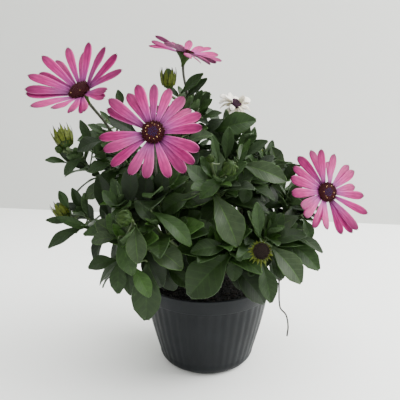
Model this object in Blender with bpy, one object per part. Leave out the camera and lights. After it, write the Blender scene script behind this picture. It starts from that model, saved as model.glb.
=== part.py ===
# Potted osteospermum: a shrubby daisy, in bloom, in a ribbed plastic pot.
# Metres, +Z up. The origin is the centre of the pot's flat underside, and -Y is the front.

import math
import random

import bmesh
import bpy
from mathutils import Matrix, Vector
from mathutils.bvhtree import BVHTree

MM = 0.001
UP = Vector((0, 0, 1))
GOLDEN_TURN = math.radians(137.5)

# Clearance between solids that meet, and what a leaf keeps to its neighbours
GAP = 0.3 * MM
LEAF_CLEARANCE = 0.6 * MM

# Pot: a low 13 cm plant pot
POT_HEIGHT = 86 * MM
RIM_RADIUS = 65 * MM
RIM_BAND = 14 * MM
RIM_STEP = 1.2 * MM
WALL_TOP_RADIUS = 63.2 * MM
WALL_FOOT_RADIUS = 48.8 * MM
FOOT_CURVE = 11 * MM
WALL = 1.3 * MM
RIBS = 44
RIB_DEPTH = 0.8 * MM
HOLLOW_SIDES = 32
DRAINS = 5
DRAIN_RADIUS = 3.5 * MM
DRAIN_RING = 27 * MM

# Potting mix and the woody foot of the plant
SOIL_LEVEL = 75 * MM
SOIL_FLAT = 16 * MM
SOIL_BUMP = 1.5 * MM
TRUNK_HEIGHT = 36 * MM
TRUNK_FLARE = 11 * MM
TRUNK_RADIUS = 6.5 * MM
TRUNK_TOP_RADIUS = 4.5 * MM
TRUNK_LEAN = Vector((-3, -2, 0)) * MM
BOUGH_RADIUS = 2.4 * MM
BOUGH_TIP_RADIUS = 1.9 * MM
BOUGH_REACH = 0.52

# Green growth
TWIG_RADIUS = 2 * MM
STALK_RADIUS = 1.6 * MM
LEAF_FILL = 1.3
LEAF_WIDTH = 0.5
LEAF_THICKNESS = 1.1 * MM
LEAF_FOLD = 0.22
LEAF_ARCH = 0.09
LEAF_SHAPE = ((0.56, 1),)
OUTLINE_LEAF_SHAPE = ((0.4, 0.86), (0.72, 0.92))
ROOT_SINK = 1 * MM
LEAF_SINK = 0.4 * MM
LOWEST_LEAF = 12 * MM

# Heads: the radius and dome of the disc, its depth down to the stalk, and its rays or bracts,
# whose reach is from the head's middle and whose cup is their rise in degrees
RAY_THICKNESS = 1 * MM
BLOOM = dict(
    radius=8.6 * MM,
    dome=3.6 * MM,
    depth=8 * MM,
    rays=19,
    reach=39 * MM,
    width=8.6 * MM,
    widest=0.74,
    cup=8,
)
WITHERED = dict(BLOOM, radius=5.5 * MM, depth=6 * MM, rays=10, reach=17 * MM, width=5 * MM, cup=24)
BUD = dict(
    radius=7 * MM,
    dome=0,
    depth=10 * MM,
    rays=7,
    reach=16 * MM,
    width=2.6 * MM,
    widest=0.4,
    cup=76,
)
GREEN_BUD = dict(BUD, radius=6 * MM, depth=7 * MM, rays=6, reach=9 * MM, width=3 * MM, cup=64)
HEADS = {
    "bloom": BLOOM,
    "cup bloom": dict(BLOOM, rays=17, reach=40 * MM, cup=25),
    "withered": WITHERED,
    "spent": dict(BLOOM, radius=7.2 * MM, rays=14, reach=12 * MM, width=2 * MM, cup=30),
    "bud": BUD,
    "open bud": dict(BUD, rays=8, reach=18 * MM, cup=70),
    "green bud": GREEN_BUD,
    "small bud": dict(GREEN_BUD, radius=4 * MM, depth=5 * MM, rays=5, reach=6.5 * MM, width=2 * MM),
}

# Each mass of foliage, in millimetres: its bough leaves the trunk at "foot" above the soil. Its
# shoots end at x, y, z with a number of leaves of a length. "tips" are places on the crown's
# outline that a leaf reaches, and "heads" are blooms and buds with the way that they face, as
# a bearing from +X and a rise in degrees.
MASSES = {
    "front_bloom": dict(
        foot=20,
        shoots=[(-42, -68, 188, 7, 50), (-74, -66, 176, 4, 36)],
        tips=[(-91, -70, 199), (-83, -90, 190), (-59, -75, 206), (-35, -80, 198)],
        heads=[("bloom", -41, -105, 236, -88, 20)],
    ),
    "left_bloom": dict(
        foot=31,
        shoots=[(-80, -44, 226, 7, 36), (-96, -34, 212, 5, 32)],
        tips=[(-112, -40, 244), (-108, -25, 240), (-118, -30, 229), (-103, -50, 200)],
        heads=[("cup bloom", -97, -90, 266, -116, 42)],
    ),
    "top_bloom": dict(
        foot=36,
        shoots=[(-18, 4, 258, 8, 34), (-44, 0, 248, 5, 32)],
        tips=[(-4, 0, 287), (1, 6, 284), (6, 12, 266)],
        heads=[("bloom", -21, 10, 306, -30, 76), ("bud", -36, -10, 282, -90, 88)],
    ),
    "right_bloom": dict(
        foot=27,
        shoots=[(80, -22, 166, 7, 38), (96, -4, 156, 5, 36)],
        tips=[(94, -45, 136), (86, 4, 200)],
        heads=[("bloom", 104, -52, 182, -76, 14)],
    ),
    "withered_bloom": dict(
        foot=34,
        shoots=[(20, 12, 228, 8, 40), (40, 30, 216, 6, 38)],
        tips=[(48, 4, 243), (4, -8, 232), (18, -12, 236)],
        heads=[("withered", 30, 30, 259, -60, 40)],
    ),
    "left_bud_high": dict(
        foot=28,
        shoots=[(-116, -26, 210, 6, 28)],
        tips=[(-152, -20, 208), (-130, -35, 195), (-137, -28, 219)],
        heads=[("open bud", -129, -30, 226, 130, 50)],
    ),
    "left_bud_low": dict(
        foot=17,
        shoots=[(-113, -40, 160, 6, 34)],
        tips=[(-150, -35, 127), (-148, -40, 155), (-137, -30, 179), (-120, -45, 184)],
        heads=[("open bud", -131, -40, 162, 150, 20)],
    ),
    "front_left": dict(
        foot=12,
        shoots=[(-66, -86, 148, 6, 46)],
        tips=[
            (-104, -66, 118),
            (-75, -86, 102),
            (-59, -106, 125),
            (-47, -101, 106),
            (-54, -87, 79),
            (-52, -115, 141),
            (-106, -70, 147),
        ],
        heads=[("green bud", -65, -102, 171, -140, 20)],
    ),
    "front_centre": dict(
        foot=15,
        shoots=[(-42, -82, 160, 7, 46)],
        tips=[(-14, -110, 151), (-20, -96, 130), (-2, -90, 123)],
        heads=[],
    ),
    "centre_bud": dict(
        foot=24,
        shoots=[(8, -62, 192, 8, 46), (34, -40, 200, 6, 40)],
        tips=[(20, -108, 150), (-6, -100, 186), (28, -87, 179), (68, -54, 193), (18, -58, 237)],
        heads=[("green bud", 17, -82, 207, -80, 40), ("small bud", 2, -68, 213, -100, 60)],
    ),
    "front_low": dict(
        foot=10,
        shoots=[(10, -66, 138, 7, 46)],
        tips=[(-16, -86, 100), (20, -87, 113), (-14, -97, 140)],
        heads=[],
    ),
    "spent_head": dict(
        foot=13,
        shoots=[(50, -62, 142, 6, 44), (72, -44, 144, 6, 46)],
        tips=[
            (39, -77, 177),
            (77, -70, 165),
            (100, -55, 113),
            (80, -76, 108),
            (52, -90, 95),
            (46, -72, 90),
        ],
        heads=[("spent", 42, -94, 142, -90, 8)],
    ),
    "right_high": dict(
        foot=30,
        shoots=[(68, 4, 192, 8, 44), (56, -22, 204, 5, 36)],
        tips=[(64, -12, 218), (80, -12, 180), (52, -40, 226)],
        heads=[],
    ),
    "back_left": dict(
        foot=22,
        shoots=[(-82, 40, 196, 8, 44), (-62, 72, 168, 8, 46), (-96, 16, 150, 7, 44)],
        tips=[(-128, 40, 176), (-92, 82, 118), (-124, 6, 134)],
        heads=[("bud", -92, 50, 232, 120, 70)],
    ),
    "back": dict(
        foot=33,
        shoots=[(-18, 74, 206, 8, 44), (8, 86, 160, 8, 48), (-30, 44, 236, 7, 40)],
        tips=[(-2, 124, 128), (-40, 108, 190), (14, 96, 96)],
        heads=[("green bud", -14, 92, 222, 90, 50)],
    ),
    "back_right": dict(
        foot=25,
        shoots=[(52, 62, 192, 8, 44), (84, 40, 156, 8, 46), (20, 50, 222, 7, 40)],
        tips=[(112, 66, 128), (66, 100, 150), (122, 24, 148)],
        heads=[("bud", 60, 66, 226, 60, 70)],
    ),
}

# Colours as base colour and roughness, all without metal
COLOURS = {
    "pot": ((0.035, 0.037, 0.042), 0.48),
    "soil": ((0.018, 0.013, 0.009), 0.95),
    "wood": ((0.11, 0.085, 0.05), 0.85),
    "foliage": ((0.045, 0.105, 0.035), 0.5),
}


def remove_everything():
    for ob in list(bpy.data.objects):
        bpy.data.objects.remove(ob, do_unlink=True)


def material(name, kind):
    colour, roughness = COLOURS[kind]
    made = bpy.data.materials.new(name)
    made.use_nodes = True
    shader = made.node_tree.nodes["Principled BSDF"]
    shader.inputs["Base Color"].default_value = (*colour, 1)
    shader.inputs["Roughness"].default_value = roughness
    shader.inputs["Metallic"].default_value = 0
    return made


def mesh_object(name, form, kind, folder=None):
    """An object from a form, which is a pair of points and faces."""
    mesh = bpy.data.meshes.new(name)
    mesh.from_pydata([tuple(p) for p in form[0]], [], form[1])
    mesh.materials.append(material(name, kind))
    made = bpy.data.objects.new(name, mesh)
    (folder or bpy.context.scene.collection).objects.link(made)
    return made


def square_to(vector, direction):
    """The part of the vector that is square to the unit direction, as a unit vector."""
    part = vector - direction * vector.dot(direction)
    if part.length < 0.05:
        part = direction.orthogonal()
    return part.normalized()


def facing(bearing, rise):
    turn, lift = math.radians(bearing), math.radians(rise)
    return Vector((math.cos(turn) * math.cos(lift), math.sin(turn) * math.cos(lift), math.sin(lift)))


def bent(start, way, end, arrive, steps, pull=0.4):
    """Points along a smooth curve that leaves start along way and comes to end along arrive."""
    reach = (end - start).length * pull
    first, last = start + way * reach, end - arrive * reach
    points = []
    for step in range(steps + 1):
        t = step / steps
        s = 1 - t
        points.append(
            start * s**3 + first * 3 * s * s * t + last * 3 * s * t * t + end * t**3
        )
    return points


def tube(points, radii, sides):
    """A closed tapered tube: a ring of corners at each point and a flat cap at both ends."""
    corners, faces = [], []
    side = None
    for i, point in enumerate(points):
        ahead = (points[min(i + 1, len(points) - 1)] - points[max(i - 1, 0)]).normalized()
        side = square_to(side or UP.cross(ahead) + Vector((0.01, 0, 0)), ahead)
        other = ahead.cross(side)
        for k in range(sides):
            turn = 2 * math.pi * k / sides
            corners.append(point + (side * math.cos(turn) + other * math.sin(turn)) * radii[i])
    for i in range(len(points) - 1):
        for k in range(sides):
            a, b = i * sides + k, i * sides + (k + 1) % sides
            faces.append((a, b, b + sides, a + sides))
    faces.append(tuple(reversed(range(sides))))
    faces.append(tuple(range(len(corners) - sides, len(corners))))
    return corners, faces


def blade(root, tip, up, width, thickness, shape, arch=0.0, fold=0.0, start=0.0):
    """A closed blade with a ridge below and sharp edges, whose root is sunk in what carries it.

    The shape is its stations, each a share of the length and of the width. start is the share
    of the length that is left out at the root.
    """
    run = tip - root
    up = square_to(up, run.normalized())
    side = up.cross(run.normalized())

    def middle(share):
        return root + run * share + up * arch * run.length * 4 * share * (1 - share)

    corners = [middle(start)]
    for share, wide in shape:
        half = 0.5 * width * wide
        edge = middle(share) + up * (fold * half - thickness / 2)
        corners += [
            edge + side * half,
            middle(share),
            edge - side * half,
            middle(share) - up * thickness,
        ]
    corners.append(middle(1))
    last = len(corners) - 1
    faces = []
    for k in range(4):
        following = (k + 1) % 4
        faces.append((0, 1 + following, 1 + k))
        for row in range(len(shape) - 1):
            a, b = 1 + 4 * row + k, 1 + 4 * row + following
            faces.append((a, b, b + 4, a + 4))
        faces.append((last - 4 + k, last - 4 + following, last))
    return corners, faces


def turned(centre, way, profile, sides):
    """A closed solid of revolution about way, from rows of height and radius, ends on the axis."""
    side = square_to(UP if abs(way.z) < 0.9 else Vector((1, 0, 0)), way)
    other = way.cross(side)
    corners = [centre + way * profile[0][0]]
    for height, radius in profile[1:-1]:
        for k in range(sides):
            turn = 2 * math.pi * k / sides
            spoke = side * math.cos(turn) + other * math.sin(turn)
            corners.append(centre + way * height + spoke * radius)
    corners.append(centre + way * profile[-1][0])
    faces = []
    rows = len(profile) - 2
    last = len(corners) - 1
    for k in range(sides):
        following = (k + 1) % sides
        faces.append((0, 1 + following, 1 + k))
        faces.append((last, last - sides + k, last - sides + following))
        for row in range(rows - 1):
            a, b = 1 + row * sides + k, 1 + row * sides + following
            faces.append((a, b, b + sides, a + sides))
    return corners, faces


class Room:
    """What is in place, as search trees with their owners, so that nothing new crosses it."""

    def __init__(self):
        self.taken = []

    def add(self, owner, form, free_part=None):
        """free_part is the form without the root that its own mass may cross."""
        whole = BVHTree.FromPolygons(*form)
        free = BVHTree.FromPolygons(*free_part) if free_part else whole
        self.taken.append((owner, whole, free, extent(form[0])))

    def is_free(self, form, owner=None, among_own=False):
        """True if the form crosses nothing of other owners, or nothing of its own."""
        tree = BVHTree.FromPolygons(*form)
        low, high = extent(form[0])
        for other, whole, free, (its_low, its_high) in self.taken:
            if (other == owner) != among_own:
                continue
            if any(low[i] > its_high[i] or high[i] < its_low[i] for i in range(3)):
                continue
            if (free if among_own else whole).overlap(tree):
                return False
        return True


def extent(points):
    return [[pick(p[i] for p in points) for i in range(3)] for pick in (min, max)]


def inner_radius(height):
    """The radius of the pot's hollow at a height above its foot curve."""
    share = (height - FOOT_CURVE) / (POT_HEIGHT - RIM_BAND - FOOT_CURVE)
    outer = WALL_FOOT_RADIUS + (WALL_TOP_RADIUS - WALL_FOOT_RADIUS) * share
    return outer - RIB_DEPTH / 2 - WALL


def make_pot():
    """A turned body with a ribbed wall below its rim band, hollowed and drained by one cut."""
    floor_radius = WALL_FOOT_RADIUS - FOOT_CURVE
    band_foot = POT_HEIGHT - RIM_BAND
    half_turn = math.radians(45)
    columns = 2 * RIBS
    profile = [
        (0, 0),
        (0, floor_radius),
        (
            FOOT_CURVE * (1 - math.cos(half_turn)),
            floor_radius + FOOT_CURVE * math.sin(half_turn),
        ),
        (FOOT_CURVE, WALL_FOOT_RADIUS),
        (band_foot, WALL_TOP_RADIUS),
        (band_foot + 0.5 * MM, WALL_TOP_RADIUS + RIM_STEP),
        (POT_HEIGHT, RIM_RADIUS + RIM_STEP),
        (POT_HEIGHT, 0),
    ]
    corners, faces = turned(Vector((0, 0, 0)), UP, profile, columns)
    for row in (2, 3):
        for k in range(1, columns, 2):
            corner = corners[1 + row * columns + k]
            corner.xy *= 1 - RIB_DEPTH / corner.xy.length
    pot = mesh_object("pot", (corners, faces), "pot")

    hollow_foot, hollow_top = FOOT_CURVE + WALL, POT_HEIGHT + 1 * MM
    hollow = [
        (WALL, 0),
        (WALL, floor_radius),
        (hollow_foot, inner_radius(hollow_foot)),
        (hollow_top, inner_radius(hollow_top)),
        (hollow_top, 0),
    ]
    cutters = [turned(Vector((0, 0, 0)), UP, hollow, HOLLOW_SIDES)]
    for k in range(DRAINS):
        turn = 2 * math.pi * k / DRAINS
        foot = Vector((DRAIN_RING * math.cos(turn), DRAIN_RING * math.sin(turn), -WALL))
        cutters.append(tube([foot, foot + UP * 3 * WALL], [DRAIN_RADIUS] * 2, 8))
    join_or_cut(pot, cutters, "DIFFERENCE")
    smooth(pot)
    return pot


def join_or_cut(body, forms, operation, solver="EXACT"):
    """One Boolean with a collection of forms, whose objects are then removed."""
    folder = bpy.data.collections.new(body.name + "_operands")
    bpy.context.scene.collection.children.link(folder)
    for k, form in enumerate(forms):
        operand = mesh_object(f"{body.name}_operand_{k}", form, "foliage", folder)
        operand.hide_render = True
        operand.display_type = "WIRE"
    boolean = body.modifiers.new("boolean", "BOOLEAN")
    boolean.operation = operation
    boolean.operand_type = "COLLECTION"
    boolean.collection = folder
    boolean.solver = solver
    apply_modifier(body, boolean)
    for ob in list(folder.objects):
        bpy.data.objects.remove(ob, do_unlink=True)
    bpy.data.collections.remove(folder)
    for face in body.data.polygons:
        face.material_index = 0
    while len(body.data.materials) > 1:
        body.data.materials.pop()


def apply_modifier(ob, modifier):
    bpy.ops.object.select_all(action="DESELECT")
    ob.select_set(True)
    bpy.context.view_layer.objects.active = ob
    bpy.ops.object.modifier_apply(modifier=modifier.name)


def smooth(ob, degrees=30):
    ob.data.shade_smooth()
    ob.data.set_sharp_from_angle(angle=math.radians(degrees))


def make_soil():
    """The potting mix that fills the pot, level under the trunk and a little uneven round it."""
    chance = random.Random(5)
    facet_clear = WALL_TOP_RADIUS * (1 - math.cos(math.pi / HOLLOW_SIDES)) + 1.5 * GAP
    foot, shoulder = FOOT_CURVE + WALL + GAP, SOIL_LEVEL - 2 * SOIL_BUMP
    top_radius = inner_radius(shoulder) - facet_clear
    profile = [
        (WALL + GAP, 0),
        (WALL + GAP, WALL_FOOT_RADIUS - FOOT_CURVE - WALL),
        (foot, inner_radius(foot) - facet_clear),
        (shoulder, top_radius),
        (SOIL_LEVEL, 0.82 * top_radius),
        (SOIL_LEVEL, 0.55 * top_radius),
        (SOIL_LEVEL, SOIL_FLAT),
        (SOIL_LEVEL, 0),
    ]
    corners, faces = turned(Vector((0, 0, 0)), UP, profile, HOLLOW_SIDES // 2)
    for corner in corners:
        radius = math.hypot(corner.x, corner.y)
        if corner.z > SOIL_LEVEL - 0.1 * MM and radius > SOIL_FLAT + 1 * MM:
            corner.z += chance.uniform(-SOIL_BUMP, SOIL_BUMP)
    return mesh_object("soil", (corners, faces), "soil")


def trunk_line(height):
    """The trunk's middle at a height above the soil."""
    share = height / TRUNK_HEIGHT
    return Vector((0, 0, SOIL_LEVEL + GAP + height)) + TRUNK_LEAN * share**1.5


def trunk_radius(height):
    flare = (TRUNK_FLARE - TRUNK_RADIUS) * max(0, 1 - height / (12 * MM)) ** 2
    return flare + TRUNK_RADIUS + (TRUNK_TOP_RADIUS - TRUNK_RADIUS) * height / TRUNK_HEIGHT


def trunk_form():
    heights = [TRUNK_HEIGHT * share for share in (0, 0.08, 0.18, 0.35, 0.6, 0.85, 1)]
    corners, faces = tube(
        [trunk_line(h) for h in heights], [trunk_radius(h) for h in heights], 10
    )
    for corner in corners[:10]:
        corner.z = SOIL_LEVEL + GAP
    return corners, faces


class Mass:
    """A mass of foliage: its bough, its twigs, its heads and its leaves."""

    def __init__(self, name, plan, seed):
        self.name = name
        self.plan = plan
        self.chance = random.Random(seed)
        self.apexes = [Vector(shoot[:3]) * MM for shoot in plan["shoots"]]
        self.centre = sum(self.apexes, Vector()) / len(self.apexes)
        self.lines = []
        self.parts = []

    def limb(self, room):
        """The bough, from just clear of the trunk about halfway to the mass."""
        for step in range(24):
            foot = self.plan["foot"] * MM + (-1) ** step * 0.5 * MM * step
            foot = min(max(foot, BOUGH_RADIUS + 1 * MM), TRUNK_HEIGHT - BOUGH_RADIUS)
            stem = trunk_line(foot)
            out = Vector((self.centre.x - stem.x, self.centre.y - stem.y, 0)).normalized()
            way = (out + UP * 0.35).normalized()
            start = stem + out * (trunk_radius(foot) + GAP + 0.5 * BOUGH_RADIUS)
            end = start.lerp(self.centre, BOUGH_REACH)
            arrive = ((self.centre - end).normalized() * 0.8 + UP * 0.35).normalized()
            line = bent(start, way, end, arrive, 4)
            taper = BOUGH_RADIUS - BOUGH_TIP_RADIUS
            form = tube(line, [BOUGH_RADIUS - taper * k / 4 for k in range(5)], 6)
            probe = tube(line, [BOUGH_RADIUS + GAP / 2 - taper * k / 4 for k in range(5)], 6)
            if room.is_free(probe):
                break
        self.fork_way = (line[-1] - line[-2]).normalized()
        self.fork = line[-1] + self.fork_way * GAP
        return form

    def add_part(self, form, room, free_part=None):
        self.parts.append(form)
        room.add(self.name, form, free_part)

    def grow_twigs(self, room):
        """A stem from the bough's tip forks into one twig for each shoot."""
        nearest = min((apex - self.fork).length for apex in self.apexes)
        joint = self.fork + self.fork_way * min(9 * MM, 0.3 * nearest)
        self.add_part(tube([self.fork, joint], [TWIG_RADIUS * 1.1] * 2, 3), room)
        for apex in self.apexes:
            for sway in range(12):
                lean = Vector([self.chance.uniform(-1, 1) for _ in range(3)]) * 0.06 * sway
                arrive = ((apex - joint).normalized() * 0.7 + UP * 0.5 + lean).normalized()
                way = (self.fork_way + (apex - joint).normalized() * 0.6 + lean * 2).normalized()
                line = bent(joint - way * ROOT_SINK, way, apex, arrive, 4)
                radii = [TWIG_RADIUS * (1 - 0.08 * k) for k in range(5)]
                if room.is_free(tube(line, [r + GAP for r in radii], 3), self.name):
                    break
            self.lines.append(line)
            self.add_part(tube(line, radii, 3), room)

    def grow_heads(self, room):
        """Each head's stalk goes on from the nearest twig, a second one from lower on it."""
        for k, (kind, x, y, z, bearing, rise) in enumerate(self.plan["heads"]):
            centre, way = Vector((x, y, z)) * MM, facing(bearing, rise)
            line = min(self.lines, key=lambda one: (one[-1] - centre).length)
            depth = HEADS[kind]["depth"]
            foot = centre - way * (depth - 1.5 * MM)
            begin = (line[-1] - line[-2]).normalized()
            start = line[-1] - begin * ROOT_SINK * (1 + 4 * k)
            stalk = bent(start, begin, foot, way, 4, 0.35)
            self.add_part(tube(stalk, [STALK_RADIUS] * 5, 3), room)
            self.add_part(head_form(kind, centre, way, self.chance), room)

    def carrier(self, tip):
        """Where a leaf with this tip springs from: the best place along the mass's twigs."""
        best = None
        for line in self.lines:
            for k in range(2, len(line)):
                point = line[k] if k < len(line) - 1 else line[k].lerp(line[k - 1], 0.15)
                length = (tip - point).length
                score = abs(length - 46 * MM) - 3 * MM * k
                if best is None or score < best[0]:
                    best = (score, point)
        return best[1]

    def try_leaf(self, root, tip, up, width, shape, room):
        """Keeps the leaf if it is clear of all else, and its blade of its own mass too."""
        way = (tip - root).normalized()
        arch = LEAF_ARCH * (1 - 1.5 * max(0, way.z))
        sunk = root - way * LEAF_SINK
        wide, thick = width + 2 * LEAF_CLEARANCE, LEAF_THICKNESS + LEAF_CLEARANCE
        probe = blade(
            sunk, tip + way * LEAF_CLEARANCE, up, wide, thick, shape, arch, LEAF_FOLD
        )
        if min(p.z for p in probe[0]) < LOWEST_LEAF or not room.is_free(probe, self.name):
            return False
        free = blade(sunk, tip, up, width, LEAF_THICKNESS, shape, arch, LEAF_FOLD, 0.3)
        if not room.is_free(free, self.name, among_own=True):
            return False
        leaf = blade(sunk, tip, up, width, LEAF_THICKNESS, shape, arch, LEAF_FOLD)
        self.add_part(leaf, room, free)
        return True

    def grow_outline(self, room):
        """The leaves that reach the crown's outline, turned broad side out at front and back."""
        for x, y, z in self.plan["tips"]:
            tip = Vector((x, y, z)) * MM
            root = self.carrier(tip)
            run = tip - root
            up = UP * 0.75 + Vector((0, math.copysign(0.6, y), 0))
            width = min(LEAF_WIDTH * run.length, 24 * MM)
            for attempt in range(14):
                roll = math.radians(self.chance.uniform(-9, 9) * attempt)
                turned_up = Matrix.Rotation(roll, 3, run.normalized()) @ up
                if self.try_leaf(root, tip, turned_up, width, OUTLINE_LEAF_SHAPE, room):
                    break
                root = self.carrier(tip).lerp(self.lines[0][-1], 0.05 * attempt)
                width *= 0.96

    def grow_leaves(self, room, everyone):
        """Leaves in a spiral up each twig: long and drooping below, short and upright at its end."""
        for line, (_, _, _, count, length) in zip(self.lines, self.plan["shoots"]):
            first_turn = self.chance.uniform(0, 2 * math.pi)
            count = round(count * LEAF_FILL)
            for k in range(count):
                share = k / (count - 1)
                place = (0.32 + 0.65 * share) * (len(line) - 1)
                whole = min(int(place), len(line) - 2)
                root = line[whole].lerp(line[whole + 1], place - whole)
                along = (line[whole + 1] - line[whole]).normalized()
                for attempt in range(12):
                    nudge = self.chance.uniform(-0.25, 0.25) * attempt
                    turn = first_turn + k * GOLDEN_TURN + nudge
                    spoke = square_to(Vector((math.cos(turn), math.sin(turn), 0.1)), along)
                    open_angle = math.radians(98 - 62 * share + self.chance.uniform(-9, 9))
                    way = along * math.cos(open_angle) + spoke * math.sin(open_angle)
                    long = length * MM * (1 - 0.35 * share**3)
                    long *= self.chance.uniform(0.9, 1.1)
                    tip = root + way * long - UP * long * 0.4 * (1 - share)
                    mid = root.lerp(tip, 0.6)
                    own = min((mid - apex).length for apex in self.apexes)
                    if any((mid - a).length < own - 8 * MM for m in everyone for a in m.apexes):
                        continue
                    up = UP * 0.8 + Vector((mid.x, mid.y, 0)).normalized() * 0.6
                    if self.try_leaf(root, tip, up, LEAF_WIDTH * long, LEAF_SHAPE, room):
                        break


def with_rays(form, sides, row, rays):
    """Draws each face of one row of a turned form out to a ray: four corners and a tip."""
    corners, faces = form
    for k, (widest, tip) in enumerate(rays):
        a, b = 1 + row * sides + k, 1 + row * sides + (k + 1) % sides
        root = (a, b, b + sides, a + sides)
        faces.remove(root)
        first = len(corners)
        corners += [*widest, tip]
        for i in range(4):
            j = (i + 1) % 4
            faces.append((root[i], root[j], first + j, first + i))
            faces.append((first + i, first + j, first + 4))
    return corners, faces


def spokes(way, count):
    """Unit spokes about way, each through the middle of a column of a turned form."""
    side = square_to(UP if abs(way.z) < 0.9 else Vector((1, 0, 0)), way)
    other = way.cross(side)
    turns = [2 * math.pi * (k + 0.5) / count for k in range(count)]
    return [side * math.cos(turn) + other * math.sin(turn) for turn in turns]


def head_form(kind, centre, way, chance):
    """A disc on its calyx with rays round it, or a bud with the tips of its bracts."""
    size = HEADS[kind]
    count, deep, wide, reach = size["rays"], size["depth"], size["radius"], size["reach"]
    half = RAY_THICKNESS / 2
    if size["dome"]:
        top = [(size["dome"], 0.6 * wide), (1.1 * size["dome"], 0)]
    else:
        top = [(reach * 0.75, 0)]
    profile = [
        (-deep, 0),
        (-deep, 0.25 * wide),
        (-0.45 * deep, 0.8 * wide),
        (-half, wide),
        (half, wide),
        *top,
    ]
    form = turned(centre, way, profile, count)
    rays = []
    for k, spoke in enumerate(spokes(way, count)):
        lift = math.radians(size["cup"] + chance.uniform(-3, 3) + 3 * (-1) ** k)
        ray = spoke * math.cos(lift) + way * math.sin(lift)
        over = way * math.cos(lift) - spoke * math.sin(lift)
        across = way.cross(spoke)
        long = reach * chance.uniform(0.93, 1.03)
        start = centre + spoke * wide
        at = start + ray * (long - wide) * size["widest"]
        side, up = across * size["width"] / 2, over * half
        widest = [at - side - up, at + side - up, at + side + up, at - side + up]
        rays.append((widest, start + ray * (long - wide)))
    return with_rays(form, count, 2, rays)


def fuse(name, parts):
    """One union joins a mass's parts. Where neither solver closes it, its last leaf is left out."""
    while parts:
        for solver in ("EXACT", "MANIFOLD"):
            body = mesh_object(name, parts[0], "foliage")
            join_or_cut(body, parts[1:], "UNION", solver)
            if keep_largest(body.data):
                smooth(body)
                return body
            bpy.data.objects.remove(body, do_unlink=True)
        parts = parts[:-1]


def keep_largest(mesh):
    """Fills sealed hollows and drops loose scraps, by keeping the largest shell. True if closed."""
    shape = bmesh.new()
    shape.from_mesh(mesh)
    bmesh.ops.remove_doubles(shape, verts=shape.verts[:], dist=1e-6)
    shells, seen = [], set()
    for face in shape.faces:
        shell, queue = [], [face]
        while queue:
            one = queue.pop()
            if one in seen:
                continue
            seen.add(one)
            shell.append(one)
            queue += [near for edge in one.edges for near in edge.link_faces]
        shells.append(shell)
    shells.sort(key=len)
    for shell in shells[:-1]:
        bmesh.ops.delete(shape, geom=shell, context="FACES")
    loose = [vert for vert in shape.verts if not vert.link_faces]
    bmesh.ops.delete(shape, geom=loose, context="VERTS")
    closed = all(len(edge.link_faces) == 2 for edge in shape.edges)
    closed = closed and shape.calc_volume(signed=True) > 0
    shape.to_mesh(mesh)
    shape.free()
    return closed


def main():
    remove_everything()
    pot, soil = make_pot(), make_soil()
    room = Room()
    for ob in (pot, soil):
        room.add(ob.name, ([v.co for v in ob.data.vertices], [p.vertices for p in ob.data.polygons]))
    trunk = trunk_form()
    room.add("trunk", trunk)
    smooth(mesh_object("trunk", trunk, "wood"))

    masses = [Mass(name, plan, seed) for seed, (name, plan) in enumerate(MASSES.items())]
    for mass in masses:
        limb = mass.limb(room)
        name = "bough_" + mass.name
        room.add(name, limb)
        smooth(mesh_object(name, limb, "wood"))
    for mass in masses:
        mass.grow_twigs(room)
    for mass in masses:
        mass.grow_heads(room)
    for mass in masses:
        mass.grow_outline(room)
    for mass in masses:
        mass.grow_leaves(room, masses)
    for mass in masses:
        fuse(mass.name, mass.parts)


main()
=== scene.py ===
# Potted osteospermum in bloom: the finished look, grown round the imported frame.
# Metres, +Z up. The origin is the centre of the pot's flat underside, and -Y is the front.

import random
from math import asin, atan2, copysign, cos, hypot, pi, radians, sin, sqrt

import bmesh
import bpy
import numpy as np
from mathutils import Matrix, Vector, noise
from mathutils.bvhtree import BVHTree


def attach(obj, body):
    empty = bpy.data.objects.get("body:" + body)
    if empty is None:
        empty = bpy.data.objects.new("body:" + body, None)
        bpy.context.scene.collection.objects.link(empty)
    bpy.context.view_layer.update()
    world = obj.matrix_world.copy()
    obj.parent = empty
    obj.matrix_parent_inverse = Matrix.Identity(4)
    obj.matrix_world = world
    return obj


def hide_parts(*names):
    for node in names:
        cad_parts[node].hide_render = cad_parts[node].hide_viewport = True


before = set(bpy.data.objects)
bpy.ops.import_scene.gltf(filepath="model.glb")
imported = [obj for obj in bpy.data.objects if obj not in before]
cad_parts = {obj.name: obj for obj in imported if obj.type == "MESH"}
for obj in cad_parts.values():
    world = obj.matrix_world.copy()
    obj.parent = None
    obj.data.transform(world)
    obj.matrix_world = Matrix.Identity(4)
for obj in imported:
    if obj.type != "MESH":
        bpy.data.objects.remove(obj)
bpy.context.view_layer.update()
print("frame loaded:", len(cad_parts), "nodes")

mm = 0.001
upward = Vector((0, 0, 1))
fullTurn = 2 * pi
goldenTurn = radians(137.5)

# Camera

view = {
    "place": Vector((-0.0068, -0.43, 0.25)),
    "pitch": radians(11.2),  # below level
    "focal": 440,  # pixels of a 400 pixel picture
    "picture": 400,
}


def addObject(name, data):
    made = bpy.data.objects.new(name, data)
    bpy.context.scene.collection.objects.link(made)
    return made


def makeCamera():
    lens = bpy.data.cameras.new("camera")
    lens.sensor_width = 36
    lens.lens = view["focal"] / view["picture"] * lens.sensor_width
    lens.clip_start = 0.01
    made = addObject("camera", lens)
    made.location = view["place"]
    made.rotation_euler = (pi / 2 - view["pitch"], 0, 0)
    bpy.context.scene.camera = made


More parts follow.
